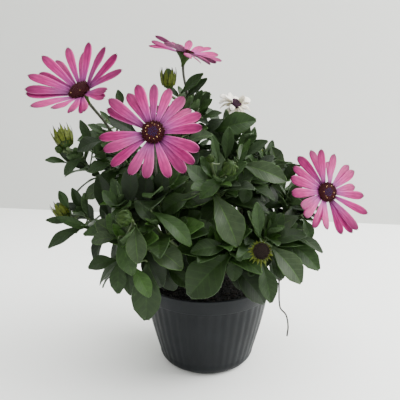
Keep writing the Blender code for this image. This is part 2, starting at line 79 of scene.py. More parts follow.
def atPixel(u, v, deep):  # the point at a pixel of the picture and deep mm behind the origin
    ahead = deep * mm - view["place"].y
    slope = (view["picture"] / 2 - v) / view["focal"]
    low, flat = sin(view["pitch"]), cos(view["pitch"])
    rise = ahead * (slope * flat - low) / (flat + slope * low)
    across = (u - view["picture"] / 2) / view["focal"] * (ahead * flat - rise * low)
    return Vector((view["place"].x + across, deep * mm, view["place"].z + rise))


def pixelOf(point):  # where the camera sees a point
    low, flat = sin(view["pitch"]), cos(view["pitch"])
    apart = point - view["place"]
    reach, rise = apart.y * flat - apart.z * low, apart.y * low + apart.z * flat
    middle, scale = view["picture"] / 2, view["focal"] / reach
    return Vector((middle + apart.x * scale, middle - rise * scale))


makeCamera()


# Materials

def linear(hexText):  # an sRGB colour such as "c23f87" as linear RGBA
    parts = [int(hexText[k : k + 2], 16) / 255 for k in (0, 2, 4)]
    return [p / 12.92 if p <= 0.04045 else ((p + 0.055) / 1.055) ** 2.4 for p in parts] + [1]


class Surface:
    # A material and the nodes of its look

    def __init__(self, name, **sockets):  # constant values go to the shader's own sockets
        self.made = bpy.data.materials.new(name)
        self.made.use_nodes = True
        self.tree = self.made.node_tree
        self.sockets = self.tree.nodes["Principled BSDF"].inputs
        for socket, value in sockets.items():
            self.sockets[socket.replace("_", " ")].default_value = value

    def add(self, kind, inputs=(), output=0, stops=(), **settings):
        # Inputs, by name or in order, are outputs to link, values or hex colours. Stops are those
        # of a colour ramp, as place and hex colour
        node = self.tree.nodes.new("ShaderNode" + kind)
        for name, value in settings.items():
            setattr(node, name, value)
        for name, value in inputs.items() if isinstance(inputs, dict) else enumerate(inputs):
            if isinstance(value, bpy.types.NodeSocket):
                self.tree.links.new(value, node.inputs[name])
            else:
                node.inputs[name].default_value = linear(value) if isinstance(value, str) else value
        if stops:
            band = node.color_ramp.elements
            for _ in stops[2:]:
                band.new(0.5)
            for element, (place, hexText) in zip(band, stops):
                element.position, element.color = place, linear(hexText)
        return node.outputs[output]

    def grain(self, size, detail=3, rough=0.55, stretch=(1, 1, 1)):
        # A pattern fixed to the object, in lumps of size metres
        spot = self.add("TexCoord", (), "Object")
        place = self.add("Mapping", {"Vector": spot, "Scale": stretch})
        inputs = {"Vector": place, "Scale": 1 / size, "Detail": detail, "Roughness": rough}
        return self.add("TexNoise", inputs)

    def bladePlace(self):  # the map along and across a leaf or a ray, and its two axes
        spot = self.add("UVMap", uv_map="bladeMap")
        x, y, _ = self.add("SeparateXYZ", [spot]).node.outputs
        return spot, x, y

    def finish(self, colour, height, depth, **more):  # with a relief of a depth in metres
        relief = self.add("Bump", {"Height": height, "Distance": depth, "Strength": 1})
        for socket, output in {"Base Color": colour, "Normal": relief, **more}.items():
            self.tree.links.new(output, self.sockets[socket])
        return self.made


potLook = {
    "colour": [(0.3, "0a0d10"), (0.55, "0e1114"), (0.8, "14171b")],
    "dust": "3c3b37",
    "roughness": (0.4, 0.58),
    "mould": 0.35 * mm,  # grain of the moulded surface, coarser than real so that it shows
    "scuff": 6 * mm,
}


def potMaterial():
    # Injection-moulded polypropylene: a satin dark grey, dusty in upright streaks and lightly
    # scuffed
    s = Surface("mouldedPolypropylene", IOR=1.49, Specular_IOR_Level=0.16)
    colour = s.add("ValToRGB", [s.grain(30 * mm, 4)], stops=potLook["colour"])
    marks = s.grain(potLook["scuff"], 6, 0.7, (1, 1, 0.22))
    dust = s.add("ValToRGB", [marks], stops=[(0.6, "000000"), (0.78, "555555")])
    colour = s.add("Mix", {0: dust, 6: colour, 7: potLook["dust"]}, 2, data_type="RGBA")
    rough = s.add("MapRange", [marks, 0.3, 0.7, *potLook["roughness"]])
    return s.finish(colour, s.grain(potLook["mould"], 2), 0.05 * mm, Roughness=rough)


def mottled(name, first, second, size, roughness, specular=0.5, bump=0.1, tall=1):
    # Two near tones in lumps of size mm, with a relief of the same lumps
    s = Surface(name, Roughness=roughness, Specular_IOR_Level=specular)
    lumps = s.grain(size * mm, stretch=(1, 1, tall))
    colour = s.add("ValToRGB", [lumps], stops=[(0.35, first), (0.65, second)])
    return s.finish(colour, lumps, bump * mm)


leafTones = {  # two near tones of the blade and the one of its veins, dealt out leaf by leaf
    "deep": ("0f1a08", "14220b", "1b2c10"),
    "dark": ("15250a", "1b2d0e", "263c16"),
    "full": ("1a2d0f", "223813", "2e451d"),
    # The grey-green dull tone is partly a painted sheen on the leaf
    "dull": ("212f18", "29371e", "344529"),
    "light": ("223911", "2a4417", "385422"),
    "young": ("274214", "304e18", "3f5d23"),
    "rib": ("2c4219", "365021", "365021"),
    "under": ("35462a", "3f5234", "4a5f3e"),
}
leafLook = {
    "mottle": 5 * mm,
    "veins": 7,  # pairs of side veins along a leaf
    "slant": 1.6,  # how far they run forward towards the rim
    "veinStrength": 0.32,
    "roughness": 0.5,
}


def leafMaterial(name, low, high, pale):
    # Thick, faintly waxy leaf: a matt dark green with a soft sheen and faint sunken veins
    s = Surface(name, Roughness=leafLook["roughness"], Specular_IOR_Level=0.2)
    lumps = s.grain(leafLook["mottle"])
    colour = s.add("ValToRGB", [lumps], stops=[(0.35, low), (0.65, high)])
    _, across, along = s.bladePlace()
    side = s.add("Math", [across, 0], operation="ABSOLUTE")
    forward = s.add("Math", [side, leafLook["slant"]], operation="MULTIPLY")
    row = s.add("Math", [along, leafLook["veins"]], operation="MULTIPLY")
    row = s.add("Math", [row, forward], operation="SUBTRACT")
    apart = s.add("Math", [row, 0], operation="FRACT")
    apart = s.add("Math", [apart, 0.5], operation="SUBTRACT")
    apart = s.add("Math", [apart, 0], operation="ABSOLUTE")
    vein = s.add("ValToRGB", [apart], stops=[(0.02, "ffffff"), (0.12, "000000")])
    weight = s.add("Math", [vein, leafLook["veinStrength"]], operation="MULTIPLY")
    colour = s.add("Mix", {0: weight, 6: colour, 7: pale}, 2, data_type="RGBA")
    sunk = s.add("Math", [vein, 0.8], operation="MULTIPLY")
    height = s.add("Math", [lumps, sunk], operation="SUBTRACT")
    return s.finish(colour, height, 0.12 * mm)


rayLook = {  # colours from the foot to the tip of a ray
    "along": [(0, "26081f"), (0.1, "571d4f"), (0.2, "933b7e"), (0.34, "ab3580"), (0.62, "ab226e"),
              (0.86, "93195d"), (1, "5c0b39")],
    "vein": "55063c",
    # The pale colour along each ray's edges is a painted highlight
    "pale": "d474b2",
    "veins": 3,  # across a ray
    # The darker line in the groove on each side of the keel is painted shade
    "grooveShadeStrength": 0.28,  # of a soft line on each side of the keel
    "shaded": [(0, "240822"), (0.12, "521c4c"), (0.26, "8a3a75"), (0.6, "9a2668"), (1, "64123f")],
    "shadedShare": 0.25,  # of the rays, in a duller tone
    "widths": (0.86, 1.06),  # shares of a ray's width, and those of a shrivelled one
    "thinWidths": (0.3, 0.5),
    "under": [(0, "5d3350"), (0.3, "86406c"), (0.7, "963670"), (1, "6b1f4a")],
    "cream": [(0, "d8cfb4"), (0.4, "efeae0"), (1, "f4f0ea")],
    "dullCream": [(0, "c9c08f"), (0.5, "e2dcc8"), (1, "d9cfc0")],
    "toEye": {  # how far the rays behind and before the disc are rolled towards the eye
        "top_bloom_0": (0.6, -0.5),
        "left_bloom_0": (0.4, 0.4),
    },
}


def rayMaterial(name, along, vein=rayLook["vein"], pale=rayLook["pale"], strength=0.5):
    # Petal tissue: satin pink, lilac at its foot, with fine deeper veins, a line of painted shade
    # in the groove on each side of the keel and thin edges in a painted highlight
    s = Surface(name, Roughness=0.55, Specular_IOR_Level=0.2)
    spot, far, across = s.bladePlace()
    streaks = s.add("Mapping", {"Vector": spot, "Scale": (2.2, rayLook["veins"], 1)})
    fine = s.add("TexNoise", {"Vector": streaks, "Scale": 2.4, "Detail": 4})
    lines = s.add("ValToRGB", [fine], stops=[(0.45, "000000"), (0.68, "ffffff")])
    side = s.add("Math", [across, 0.5], operation="SUBTRACT")
    side = s.add("Math", [side, 0], operation="ABSOLUTE")
    # Darker along the groove on each side of the keel: painted shade
    grooveShadeStops = [(0.07, "000000"), (0.14, "ffffff"), (0.2, "ffffff"), (0.28, "000000")]
    groove = s.add("ValToRGB", [side], stops=grooveShadeStops)
    # A paler line along each edge of the ray: a painted highlight
    rim = s.add("ValToRGB", [side], stops=[(0.42, "000000"), (0.49, "9c9c9c")])
    colour = s.add("ValToRGB", [far], stops=rayLook[along])
    layers = (lines, strength, vein), (groove, rayLook["grooveShadeStrength"], vein), (rim, 1, pale)
    for mask, share, over in layers:
        weight = s.add("Math", [mask, share], operation="MULTIPLY")
        colour = s.add("Mix", {0: weight, 6: colour, 7: over}, 2, data_type="RGBA")
    return s.finish(colour, fine, 0.25 * mm)


potPaint = potMaterial()
leafPaints = [leafMaterial("leaf_" + tone, *colours) for tone, colours in leafTones.items()]
blossomPaints = {
    "rayTop": rayMaterial("ray_top", "along"),
    "rayShade": rayMaterial("ray_shade", "shaded"),
    "rayUnder": rayMaterial("ray_under", "under", "5e2552", "c987b0", 0.8),
    "creamTop": rayMaterial("withered_top", "cream", "cfc3a0", "fbf9f4", 0.35),
    "creamUnder": rayMaterial("withered_under", "dullCream", "b0a583", "efeadd", 0.5),
    # Florets: velvety near-black violet in the middle, maroon round it, dusted with pollen
    "violet": mottled("floret_violet", "100e34", "23235c", 0.8, 0.7, 0.15),
    "maroon": mottled("floret_maroon", "24050a", "3c0a11", 0.8, 0.7, 0.15),
    "plum": mottled("floret_plum", "1c0a18", "38172f", 0.8, 0.7, 0.15),
    "husk": mottled("floret_husk", "0f0a08", "231812", 0.8, 0.8, 0.15),
    "pollen": mottled("pollen", "c79a4a", "e8c88a", 0.3, 0.8),
    # Bracts: leathery green, yellower where they open
    "bract": mottled("bract_green", "1e2f09", "2c400e", 2, 0.6, 0.2),
    "bractDeep": mottled("bract_deep", "1b2d0b", "283e11", 2, 0.6, 0.2),
    "bractPale": mottled("bract_pale", "333d08", "505a10", 2, 0.6, 0.2),
    "bractTip": mottled("bract_tip", "181207", "2a220d", 1, 0.6),
    # Green stalks in fine lengthwise streaks, and a dry brown fibre
    "stalk": mottled("stalk", "2f3f1c", "44552a", 2, 0.55, tall=0.3),
    "bloomStalk": mottled("bloom_stalk", "1f1d14", "343828", 2, 0.55),
    "thread": mottled("dry_thread", "120c08", "1f150e", 1, 0.8),
}
# Young woody stem: green-brown bark in fine lengthwise cracks, matt
woodPaint = mottled("stem_bark", "1d180f", "3b3221", 2.2, 0.85, bump=0.4, tall=0.35)
# Peat mix: damp near-black crumbs, brown bark chips and a few pale grains
mixPaints = [
    mottled("peat_crumbs", "060504", "0f0c09", 1.6, 0.95, bump=0.5),
    mottled("bark_chips", "140d08", "261a11", 2, 0.9, bump=0.4),
    mottled("pale_grains", "5d594f", "8b867a", 1.5, 0.9, bump=0.2),
]
print("materials made")


# Modelling by hand

def deselect():
    if bpy.context.object and bpy.context.object.mode != "OBJECT":
        bpy.ops.object.mode_set(mode="OBJECT")
    bpy.ops.object.select_all(action="DESELECT")


def rename(name):  # names the active object after a primitive is added
    made = bpy.context.object
    made.name = made.data.name = name
    return made


def editAll():
    bpy.ops.object.mode_set(mode="EDIT")
    bpy.ops.mesh.select_all(action="SELECT")


def editDone():
    bpy.ops.object.mode_set(mode="OBJECT")


def resize(x, y, z, height=0):  # what is selected, about the axis at a height
    bpy.ops.transform.resize(value=(x, y, z), center_override=(0, 0, height))


def pick(made, test):  # selects in edit mode the points that pass
    shape = bmesh.from_edit_mesh(made.data)
    bpy.ops.mesh.select_mode(type="VERT")
    for vert in shape.verts:
        vert.select = bool(test(vert.co))
    shape.select_flush_mode()
    bmesh.update_edit_mesh(made.data)


def turned(name, rows, sides):  # a closed body of rings, from rows of radius and height
    radius, height = rows[0]
    deselect()
    bpy.ops.mesh.primitive_circle_add(
        vertices=sides, radius=radius, fill_type="NGON", calc_uvs=False, location=(0, 0, height))
    made = rename(name)
    bpy.ops.object.transform_apply()
    editAll()
    for wider, higher in rows[1:]:
        step = {"value": (0, 0, higher - height)}
        bpy.ops.mesh.extrude_region_move(TRANSFORM_OT_translate=step)
        resize(wider / radius, wider / radius, 1, higher)
        radius, height = wider, higher
    bpy.ops.mesh.select_all(action="SELECT")
    bpy.ops.mesh.normals_make_consistent(inside=False)
    editDone()
    return made


def applyModifier(made, kind, **values):
    modifier = made.modifiers.new(kind.lower(), kind)
    for name, value in values.items():
        setattr(modifier, name, value)
    bpy.context.view_layer.objects.active = made
    bpy.ops.object.modifier_apply(modifier=modifier.name)


def paint(made, *materials):
    made.data.materials.clear()
    for material in materials:
        made.data.materials.append(material)


def readArray(items, name, width=1, kind=int):  # one property of all points, corners or faces
    values = np.empty(len(items) * width, kind)
    items.foreach_get(name, values)
    return values


def masterArrays(made, toneOf=None, mapOf=None):
    # The arrays of a master piece, which is then removed: its copies are joined from them
    data = made.data
    points = readArray(data.vertices, "co", 3, float).reshape(-1, 3)
    corners = readArray(data.loops, "vertex_index")
    sizes = readArray(data.polygons, "loop_total")
    tones = np.zeros(len(sizes), int)
    if toneOf:
        tones = np.array([toneOf(face.center, face.normal) for face in data.polygons])
    spots = mapOf(points[corners]) if mapOf else points[corners][:, :2]
    bpy.data.objects.remove(made, do_unlink=True)
    return {"points": points, "corners": corners, "sizes": sizes, "tones": tones, "spots": spots}


def joinCopies(name, groups, paints, withMap=False):
    # Each group is (master, copies, toneMap): copies as an array of (copy, point, 3), and
    # for each copy the slots that stand for the master's tones
    points, corners, sizes, tones, spots = [], [], [], [], []
    first = 0
    for master, copies, toneMap in groups:
        if not len(copies):
            continue
        copies = np.asarray(copies)
        count, size = copies.shape[:2]
        offsets = first + np.arange(count)[:, None] * size
        points.append(copies.reshape(-1, 3))
        corners.append((master["corners"][None, :] + offsets).ravel())
        sizes.append(np.tile(master["sizes"], count))
        tones.append(np.asarray(toneMap)[:, master["tones"]].ravel())
        spots.append(np.tile(master["spots"], (count, 1)))
        first += count * size
    points, corners, sizes, tones = map(np.concatenate, (points, corners, sizes, tones))
    data = bpy.data.meshes.new(name)
    data.vertices.add(len(points))
    data.vertices.foreach_set("co", points.astype(np.float32).ravel())
    data.loops.add(len(corners))
    data.loops.foreach_set("vertex_index", corners.astype(np.int32))
    data.polygons.add(len(sizes))
    starts = np.concatenate([[0], np.cumsum(sizes)[:-1]])
    data.polygons.foreach_set("loop_start", starts.astype(np.int32))
    if withMap:
        layer = data.uv_layers.new(name="bladeMap")
        layer.data.foreach_set("uv", np.concatenate(spots).astype(np.float32).ravel())
    data.update(calc_edges=True)
    data.validate()
    data.shade_smooth()
    made = addObject(name, data)
    paint(made, *paints)
    data.polygons.foreach_set("material_index", tones.astype(np.int32))
    return made


def finishPiece(piece, slot, *nodes):
    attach(piece, "root")
    if nodes:
        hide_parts(*nodes)


# Pot: a thin moulded shell with flutes below a plain band and a rolled lip

potSize = {
    "height": 86 * mm,
    "rim": 66.2 * mm,
    "lip": 1.1 * mm,
    "band": 14 * mm,
    "step": 1.2 * mm,
    "wallTop": 63.2 * mm,
    "wallFoot": 48.8 * mm,
    "wallSlope": 0.236,
    "footCurve": 11 * mm,
    "wall": 1.5 * mm,
    "ribs": 44,
    "ribDepth": 0.4 * mm,
    "flute": (0, 0.12, 0.75, 1, 0.75, 0.12),  # depth across one rib, by columns of points
    "fullness": 1 * mm,  # how far the wall swells halfway up
    "drains": 5,
    "drainRadius": 3.5 * mm,
    "drainRing": 27 * mm,
    "soilLevel": 75 * mm,
}


def potProfile():  # (radius, height) from the floor's edge, up outside, over the lip, down inside
    s = potSize
    curve, top, wallTop = s["footCurve"], s["height"], s["wallTop"]
    foot, bandFoot = s["wallFoot"] - curve, top - s["band"]
    turns = [radians(15 * k) for k in range(7)]
    rows = [(foot + curve * sin(turn), curve * (1 - cos(turn))) for turn in turns]
    for share in (0.04, 0.2, 0.35, 0.5, 0.65, 0.8, 0.9, 0.97, 1):
        swell = s["fullness"] * sin(pi * share)
        wide = s["wallFoot"] + (wallTop - s["wallFoot"]) * share + swell
        rows.append((wide, curve + (bandFoot - curve) * share))
    stepTop = wallTop + s["step"]
    rows += [(stepTop - 0.35 * mm, bandFoot + 0.15 * mm), (stepTop, bandFoot + 0.6 * mm),
             (s["rim"] - 0.5 * mm, top - 3.2 * mm)]
    for k in range(6):
        turn = radians(-30 + 36 * k)
        rows.append((s["rim"] - s["lip"] + s["lip"] * cos(turn), top - s["lip"] * (1 - sin(turn))))
    inner = wallTop - s["wall"] - 0.3 * mm
    innerFoot = s["wallFoot"] - s["wall"], curve + s["wall"]
    return rows + [(inner, bandFoot), innerFoot, (foot, s["wall"])]


def makePot():
    s = potSize
    deep = len(s["flute"])
    columns = s["ribs"] * deep
    pot = turned("flutedPot", potProfile(), columns)
    editAll()
    low, high = s["footCurve"] * 0.8, s["height"] - s["band"] - 1 * mm
    middle = 57 * mm  # radius of the wall halfway up
    for place, depth in enumerate(s["flute"]):
        if depth:
            def inFlute(co):
                column = round(atan2(co.y, co.x) / fullTurn * columns) % deep
                outer = s["wallFoot"] + (co.z - s["footCurve"]) * s["wallSlope"]
                onWall = low < co.z < high and hypot(co.x, co.y) > outer - 0.6 * mm
                return column == place and onWall

            pick(pot, inFlute)
            shrink = 1 - depth * s["ribDepth"] / middle
            resize(shrink, shrink, 1)
    editDone()
    for k in range(s["drains"]):
        turn = fullTurn * k / s["drains"]
        spot = (s["drainRing"] * cos(turn), s["drainRing"] * sin(turn), 0)
        deselect()
        bpy.ops.mesh.primitive_cylinder_add(
            vertices=24, radius=s["drainRadius"], depth=6 * mm, calc_uvs=False, location=spot)
        drill = rename("drill")
        applyModifier(pot, "BOOLEAN", object=drill, operation="DIFFERENCE")
        bpy.data.objects.remove(drill, do_unlink=True)
    pot.data.shade_smooth()
    pot.data.set_sharp_from_angle(angle=radians(50))
    paint(pot, potPaint)
    finishPiece(pot, "pot", "pot")


makePot()
print("pot made")


# Potting mix: a crumbly surface on the body that fills the pot

mixSize = {
    "foot": (36.4 * mm, 1.7 * mm),  # radius and height
    "bend": (46.6 * mm, 12.8 * mm),
    "edge": 60.4 * mm,
    "rings": 34,
    "sides": 96,
    "crumbs": 1500,
    "crumbReach": 59.5 * mm,
    "crumb": (0.8 * mm, 2.6 * mm),
    "paleGrain": 0.8 * mm,
    "kinds": (0.72, 0.994),  # shares up to which a piece is a crumb, and a bark chip
    "seed": 11,
}


def soilHeight(x, y):
    broad = noise.noise(Vector((x, y, 0.3)) * 60) * 1.6 * mm
    fine = noise.noise(Vector((x, y, 0.8)) * 320) * 0.8 * mm
    return potSize["soilLevel"] - 0.6 * mm + broad + fine


def makeSoil():
    top, edge, rings = potSize["soilLevel"] - 3 * mm, mixSize["edge"], mixSize["rings"]
    rows = [mixSize["foot"], mixSize["bend"]]
    rows += [(edge * (1 - k / rings), top) for k in range(rings)]
    soil = turned("pottingMix", rows, mixSize["sides"])
    for vert in soil.data.vertices:
        if vert.co.z > top - 0.1 * mm:
            vert.co.z = soilHeight(vert.co.x, vert.co.y)
    paint(soil, mixPaints[0])
    soil.data.shade_smooth()
    return soil


def makeCrumbs():
    chance = random.Random(mixSize["seed"])
    deselect()
    bpy.ops.mesh.primitive_ico_sphere_add(subdivisions=1, radius=1)
    crumb = rename("crumb")
    editAll()
    pick(crumb, lambda co: co.x > 0.4)
    resize(1.3, 0.7, 0.8)
    editDone()
    master = masterArrays(crumb)
    copies, tones = [], []
    for _ in range(mixSize["crumbs"]):
        far, turn = mixSize["crumbReach"] * sqrt(chance.random()), chance.uniform(0, fullTurn)
        x, y = far * cos(turn), far * sin(turn)
        size = chance.uniform(*mixSize["crumb"])
        kind = chance.random()
        stretch = Vector((1, chance.uniform(0.4, 0.8), chance.uniform(0.3, 0.7))) * size
        tone = sum(kind > share for share in mixSize["kinds"])
        if tone == 2:
            stretch = Vector((1, 1, 1)) * mixSize["paleGrain"]
        spin = Matrix.Rotation(chance.uniform(0, 6.28), 3, "Z")
        spin = spin @ Matrix.Rotation(chance.uniform(-0.6, 0.6), 3, "X")
        spot = np.array((x, y, soilHeight(x, y) + 0.2 * size))
        copies.append(master["points"] * np.array(stretch) @ np.array(spin).T + spot)
        tones.append([tone])
    return joinCopies("crumbs", [(master, copies, tones)], mixPaints)


def makeMix():
    soil, crumbs = makeSoil(), makeCrumbs()
    deselect()
    soil.select_set(True)
    crumbs.select_set(True)
    bpy.context.view_layer.objects.active = soil
    bpy.ops.object.join()
    finishPiece(rename("pottingMix"), "potting_mix", "soil")


makeMix()
print("potting mix made")


# Growth: the rule that shapes the plant's solids, written again and carried to finer shoots

plantSize = {
    "gap": 0.3 * mm,
    "leafClear": 0.6 * mm,
    "trunkHeight": 36 * mm,
    "trunkFlare": 11 * mm,
    "trunkRadius": 6.5 * mm,
    "trunkTop": 4.5 * mm,
    "lean": Vector((-3, -2, 0)) * mm,
    "bough": 2.4 * mm,
    "boughTip": 1.9 * mm,
    "boughReach": 0.52,
    "probeTwig": 2 * mm,  # as thick as in the solids, which keeps the same room free
    "probeStalk": 1.6 * mm,
    "probeLeaf": 1.1 * mm,
    "twig": 1.5 * mm,
    "twigTip": 1.1 * mm,
    "stalk": 1.4 * mm,
    "leafWidth": 0.43,  # of a leaf's length
    "leafFold": 0.22,
    "leafArch": 0.09,
    "leafSink": 0.4 * mm,
    "rootSink": 1 * mm,
    "leafFill": 1.8,
    "lowestLeaf": 12 * mm,
    "lowestTip": 94 * mm,  # of a leaf in front that isn't read off the picture
    "joint": 9 * mm,  # from a bough's tip to where its shoots part
    "suitedLeaf": 46 * mm,  # a twig is picked to carry a tip at about this length
    "widestLeaf": 24 * mm,  # on the outline
    "ownShare": 8 * mm,  # a leaf stays this much nearer to its own shoots than to others
    "sprig": (0.9 * mm, 0.7 * mm),  # radii of a shoot to a leaf read off the picture
    "sprigLeast": 1.5 * mm,  # and its least length
}
lineSteps = 16  # of a twig's line, and 4 of the coarse one that keeps its room free
boughSteps = 36  # of a bough's line, besides those in the trunk and at its tip
trunkSteps = 6
tries = {  # places tried for one piece before it is given up
    "limb": 24, "twig": 12, "outline": 14, "leaf": 12,
    "inner": 8, "rosette": 4, "side": 6, "seen": 9,
}
bladeShapes = {  # of the plain blades that keep room free: stations as shares of length and width
    "rule": ((0.56, 1),),
    "outline": ((0.4, 0.86), (0.72, 0.92)),
    "seen": ((0.3, 0.8), (0.56, 1), (0.8, 0.7)),
    "ray": ((0.3, 0.6), (0.74, 1)),
}

headParts = ("radius", "dome", "depth", "rays", "reach", "width", "cup")
headSizes = {  # lengths in mm, cup in degrees of rise
    "bloom": (8.6, 3.6, 8, 19, 39, 8.2, 8),
    "cup bloom": (8.6, 3.6, 8, 17, 40, 8, 25),
    "withered": (6.1, 3.6, 6, 10, 17, 5, 24),
    "spent": (6.6, 3.6, 8, 14, 12, 2, 30),
    "bud": (7, 0, 10, 7, 16, 2.6, 76),
    "open bud": (7.8, 0, 10, 8, 18, 2.6, 70),
    "green bud": (7.2, 0, 7, 6, 9, 3, 64),
    "small bud": (4, 0, 5, 5, 6.5, 2, 64),
}

# Each mass as in the solids, in mm: its bough's foot above the soil, shoots that end at x, y, z
# with a number of leaves of a length, tips on the outline, and heads with a bearing and a rise
masses = {
    "front_bloom": (20, [(-42, -68, 188, 7, 50), (-74, -66, 176, 4, 36)],
        [(-91, -70, 199), (-83, -90, 190), (-59, -75, 206), (-35, -80, 198)],
        [("bloom", -41, -105, 236, -88, 20)]),
    "left_bloom": (31, [(-80, -44, 226, 7, 36), (-96, -34, 212, 5, 32)],
        [(-112, -40, 244), (-108, -25, 240), (-118, -30, 229), (-103, -50, 200)],
        [("cup bloom", -97, -90, 266, -116, 42)]),
    "top_bloom": (36, [(-18, 4, 258, 8, 34), (-44, 0, 248, 5, 32)],
        [(-4, 0, 287), (1, 6, 284), (6, 12, 266)],
        [("bloom", -21, 10, 306, 10, 78), ("bud", -36, -10, 279, -90, 86)]),
    "right_bloom": (27, [(80, -22, 166, 7, 38), (96, -4, 156, 5, 36)],
        [(94, -45, 136), (86, 4, 200)], [("bloom", 104, -52, 182, -76, 14)]),
    "withered_bloom": (34, [(20, 12, 228, 8, 40), (40, 30, 216, 6, 38)],
        [(48, 4, 243), (4, -8, 232), (18, -12, 236)], [("withered", 30, 30, 259, -60, 40)]),
    "left_bud_high": (28, [(-116, -26, 210, 6, 28)],
        [(-152, -20, 208), (-130, -35, 195), (-137, -28, 219)],
        [("open bud", -129, -30, 226, 130, 50), ("small bud", -133, -34, 218, 200, 20)]),
    "left_bud_low": (17, [(-113, -40, 160, 6, 34)],
        [(-150, -35, 127), (-148, -40, 155), (-137, -30, 179), (-120, -45, 184)],
        [("bud", -131, -40, 161, 150, 48)]),
    "front_left": (12, [(-66, -86, 148, 6, 46)],
        [(-104, -66, 118), (-75, -86, 102), (-59, -106, 125), (-47, -101, 106), (-54, -87, 79),
         (-52, -115, 141), (-106, -70, 147)], [("green bud", -65, -102, 171, -140, 20)]),
    "front_centre": (15, [(-42, -82, 160, 7, 46)],
        [(-14, -110, 151), (-20, -96, 130), (-2, -90, 123)], []),
    "centre_bud": (24, [(8, -62, 192, 8, 46), (34, -40, 200, 6, 40)],
        [(20, -108, 150), (-6, -100, 186), (28, -87, 179), (68, -54, 193), (18, -58, 237)],
        [("green bud", 17, -82, 207, -80, 40), ("small bud", 2, -68, 213, -100, 60)]),
    "front_low": (10, [(10, -66, 138, 7, 46)],
        [(-16, -86, 100), (20, -87, 113), (-14, -97, 140)], []),
    "spent_head": (13, [(50, -62, 142, 6, 44), (72, -44, 144, 6, 46)],
        [(39, -77, 177), (77, -70, 165), (100, -55, 113), (80, -76, 108), (52, -90, 95),
         (46, -72, 90)],
        [("spent", 42, -94, 142, -90, 8)]),
    "right_high": (30, [(68, 4, 192, 8, 44), (56, -22, 204, 5, 36)],
        [(64, -12, 218), (80, -12, 180), (52, -40, 226)], []),
    "back_left": (22, [(-82, 40, 196, 8, 44), (-62, 72, 168, 8, 46), (-96, 16, 150, 7, 44)],
        [(-128, 40, 176), (-92, 82, 118), (-124, 6, 134)], [("bud", -92, 50, 213, 120, 70)]),
    "back": (33, [(-18, 74, 206, 8, 44), (8, 86, 160, 8, 48), (-30, 44, 236, 7, 40)],
        [(-2, 124, 128), (-40, 108, 190), (14, 96, 96)], [("green bud", -14, 92, 222, 90, 50)]),
    "back_right": (25, [(52, 62, 192, 8, 44), (84, 40, 156, 8, 46), (20, 50, 222, 7, 40)],
        [(112, 66, 128), (66, 100, 150), (122, 24, 148)], [("bud", 60, 66, 204, 60, 70)]),
}


def squareTo(vector, direction):  # the part of vector that is square to direction, at unit length
    part = vector - direction * vector.dot(direction)
    if part.length < 0.05:
        part = direction.orthogonal()
    return part.normalized()


def aside(turn, rise, direction):  # square to a direction, at a turn about the vertical
    return squareTo(Vector((cos(turn), sin(turn), rise)), direction)


def outward(point, rise=0.8, out=0.6):  # the side that a leaf at this point turns up
    return upward * rise + Vector((point.x, point.y, 0)).normalized() * out


def bent(start, way, end, arrive, steps=lineSteps, pull=0.4):  # a curve that leaves along way
    reach = (end - start).length * pull
    first, last = start + way * reach, end - arrive * reach
    points = []
    for step in range(steps + 1):
        t = step / steps
        s = 1 - t
        points.append(start * s**3 + first * 3 * s * s * t + last * 3 * s * t * t + end * t**3)
    return points


def alongLine(line, place):  # the point at a place counted in steps of a line, and the way there
    whole = min(int(place), len(line) - 2)
    way = (line[whole + 1] - line[whole]).normalized()
    return line[whole].lerp(line[whole + 1], place - whole), way


def tapered(first, last, steps):
    return [first + (last - first) * k / steps for k in range(steps + 1)]


def lineFrames(points):  # two unit vectors square to a line at each of its points
    frames, side = [], None
    for i in range(len(points)):
        ahead = (points[min(i + 1, len(points) - 1)] - points[max(i - 1, 0)]).normalized()
        side = squareTo(side or upward.cross(ahead) + Vector((0.01, 0, 0)), ahead)
        frames.append((side, ahead.cross(side)))
    return frames


def tubeForm(points, radii, sides):  # a plain tube that keeps room free
    corners, faces = [], []
    for point, radius, (side, other) in zip(points, radii, lineFrames(points)):
        turns = [fullTurn * k / sides for k in range(sides)]
        corners += [point + (side * cos(turn) + other * sin(turn)) * radius for turn in turns]
    for i in range(0, sides * (len(points) - 1), sides):
        for k in range(sides):
            a, b = i + k, i + (k + 1) % sides
            faces.append((a, b, b + sides, a + sides))
    ends = tuple(reversed(range(sides))), tuple(range(len(corners) - sides, len(corners)))
    return corners, faces + list(ends)


def bladeForm(root, tip, up, width, thickness, shape, arch=0.0, fold=0.0, start=0.0):
    # A plain blade that keeps room free, with the stations of its shape
    run = tip - root
    up = squareTo(up, run.normalized())
    side = up.cross(run.normalized())

    def middle(share):
        return root + run * share + up * arch * run.length * 4 * share * (1 - share)

    corners = [middle(start)]
    for share, wide in shape:
        half = 0.5 * width * wide
        edge = middle(share) + up * (fold * half - thickness / 2)
        below = middle(share) - up * thickness
        corners += [edge + side * half, middle(share), edge - side * half, below]
    corners.append(middle(1))
    last = len(corners) - 1
    faces = []
    for a, b in ((1, 2), (2, 3), (3, 4), (4, 1)):
        faces.append((0, b, a))
        rows = range(0, last - 5, 4)
        faces += [(row + a, row + b, row + b + 4, row + a + 4) for row in rows]
        faces.append((last - 5 + a, last - 5 + b, last))
    return corners, faces


def extent(points):
    return [[bound(p[i] for p in points) for i in range(3)] for bound in (min, max)]


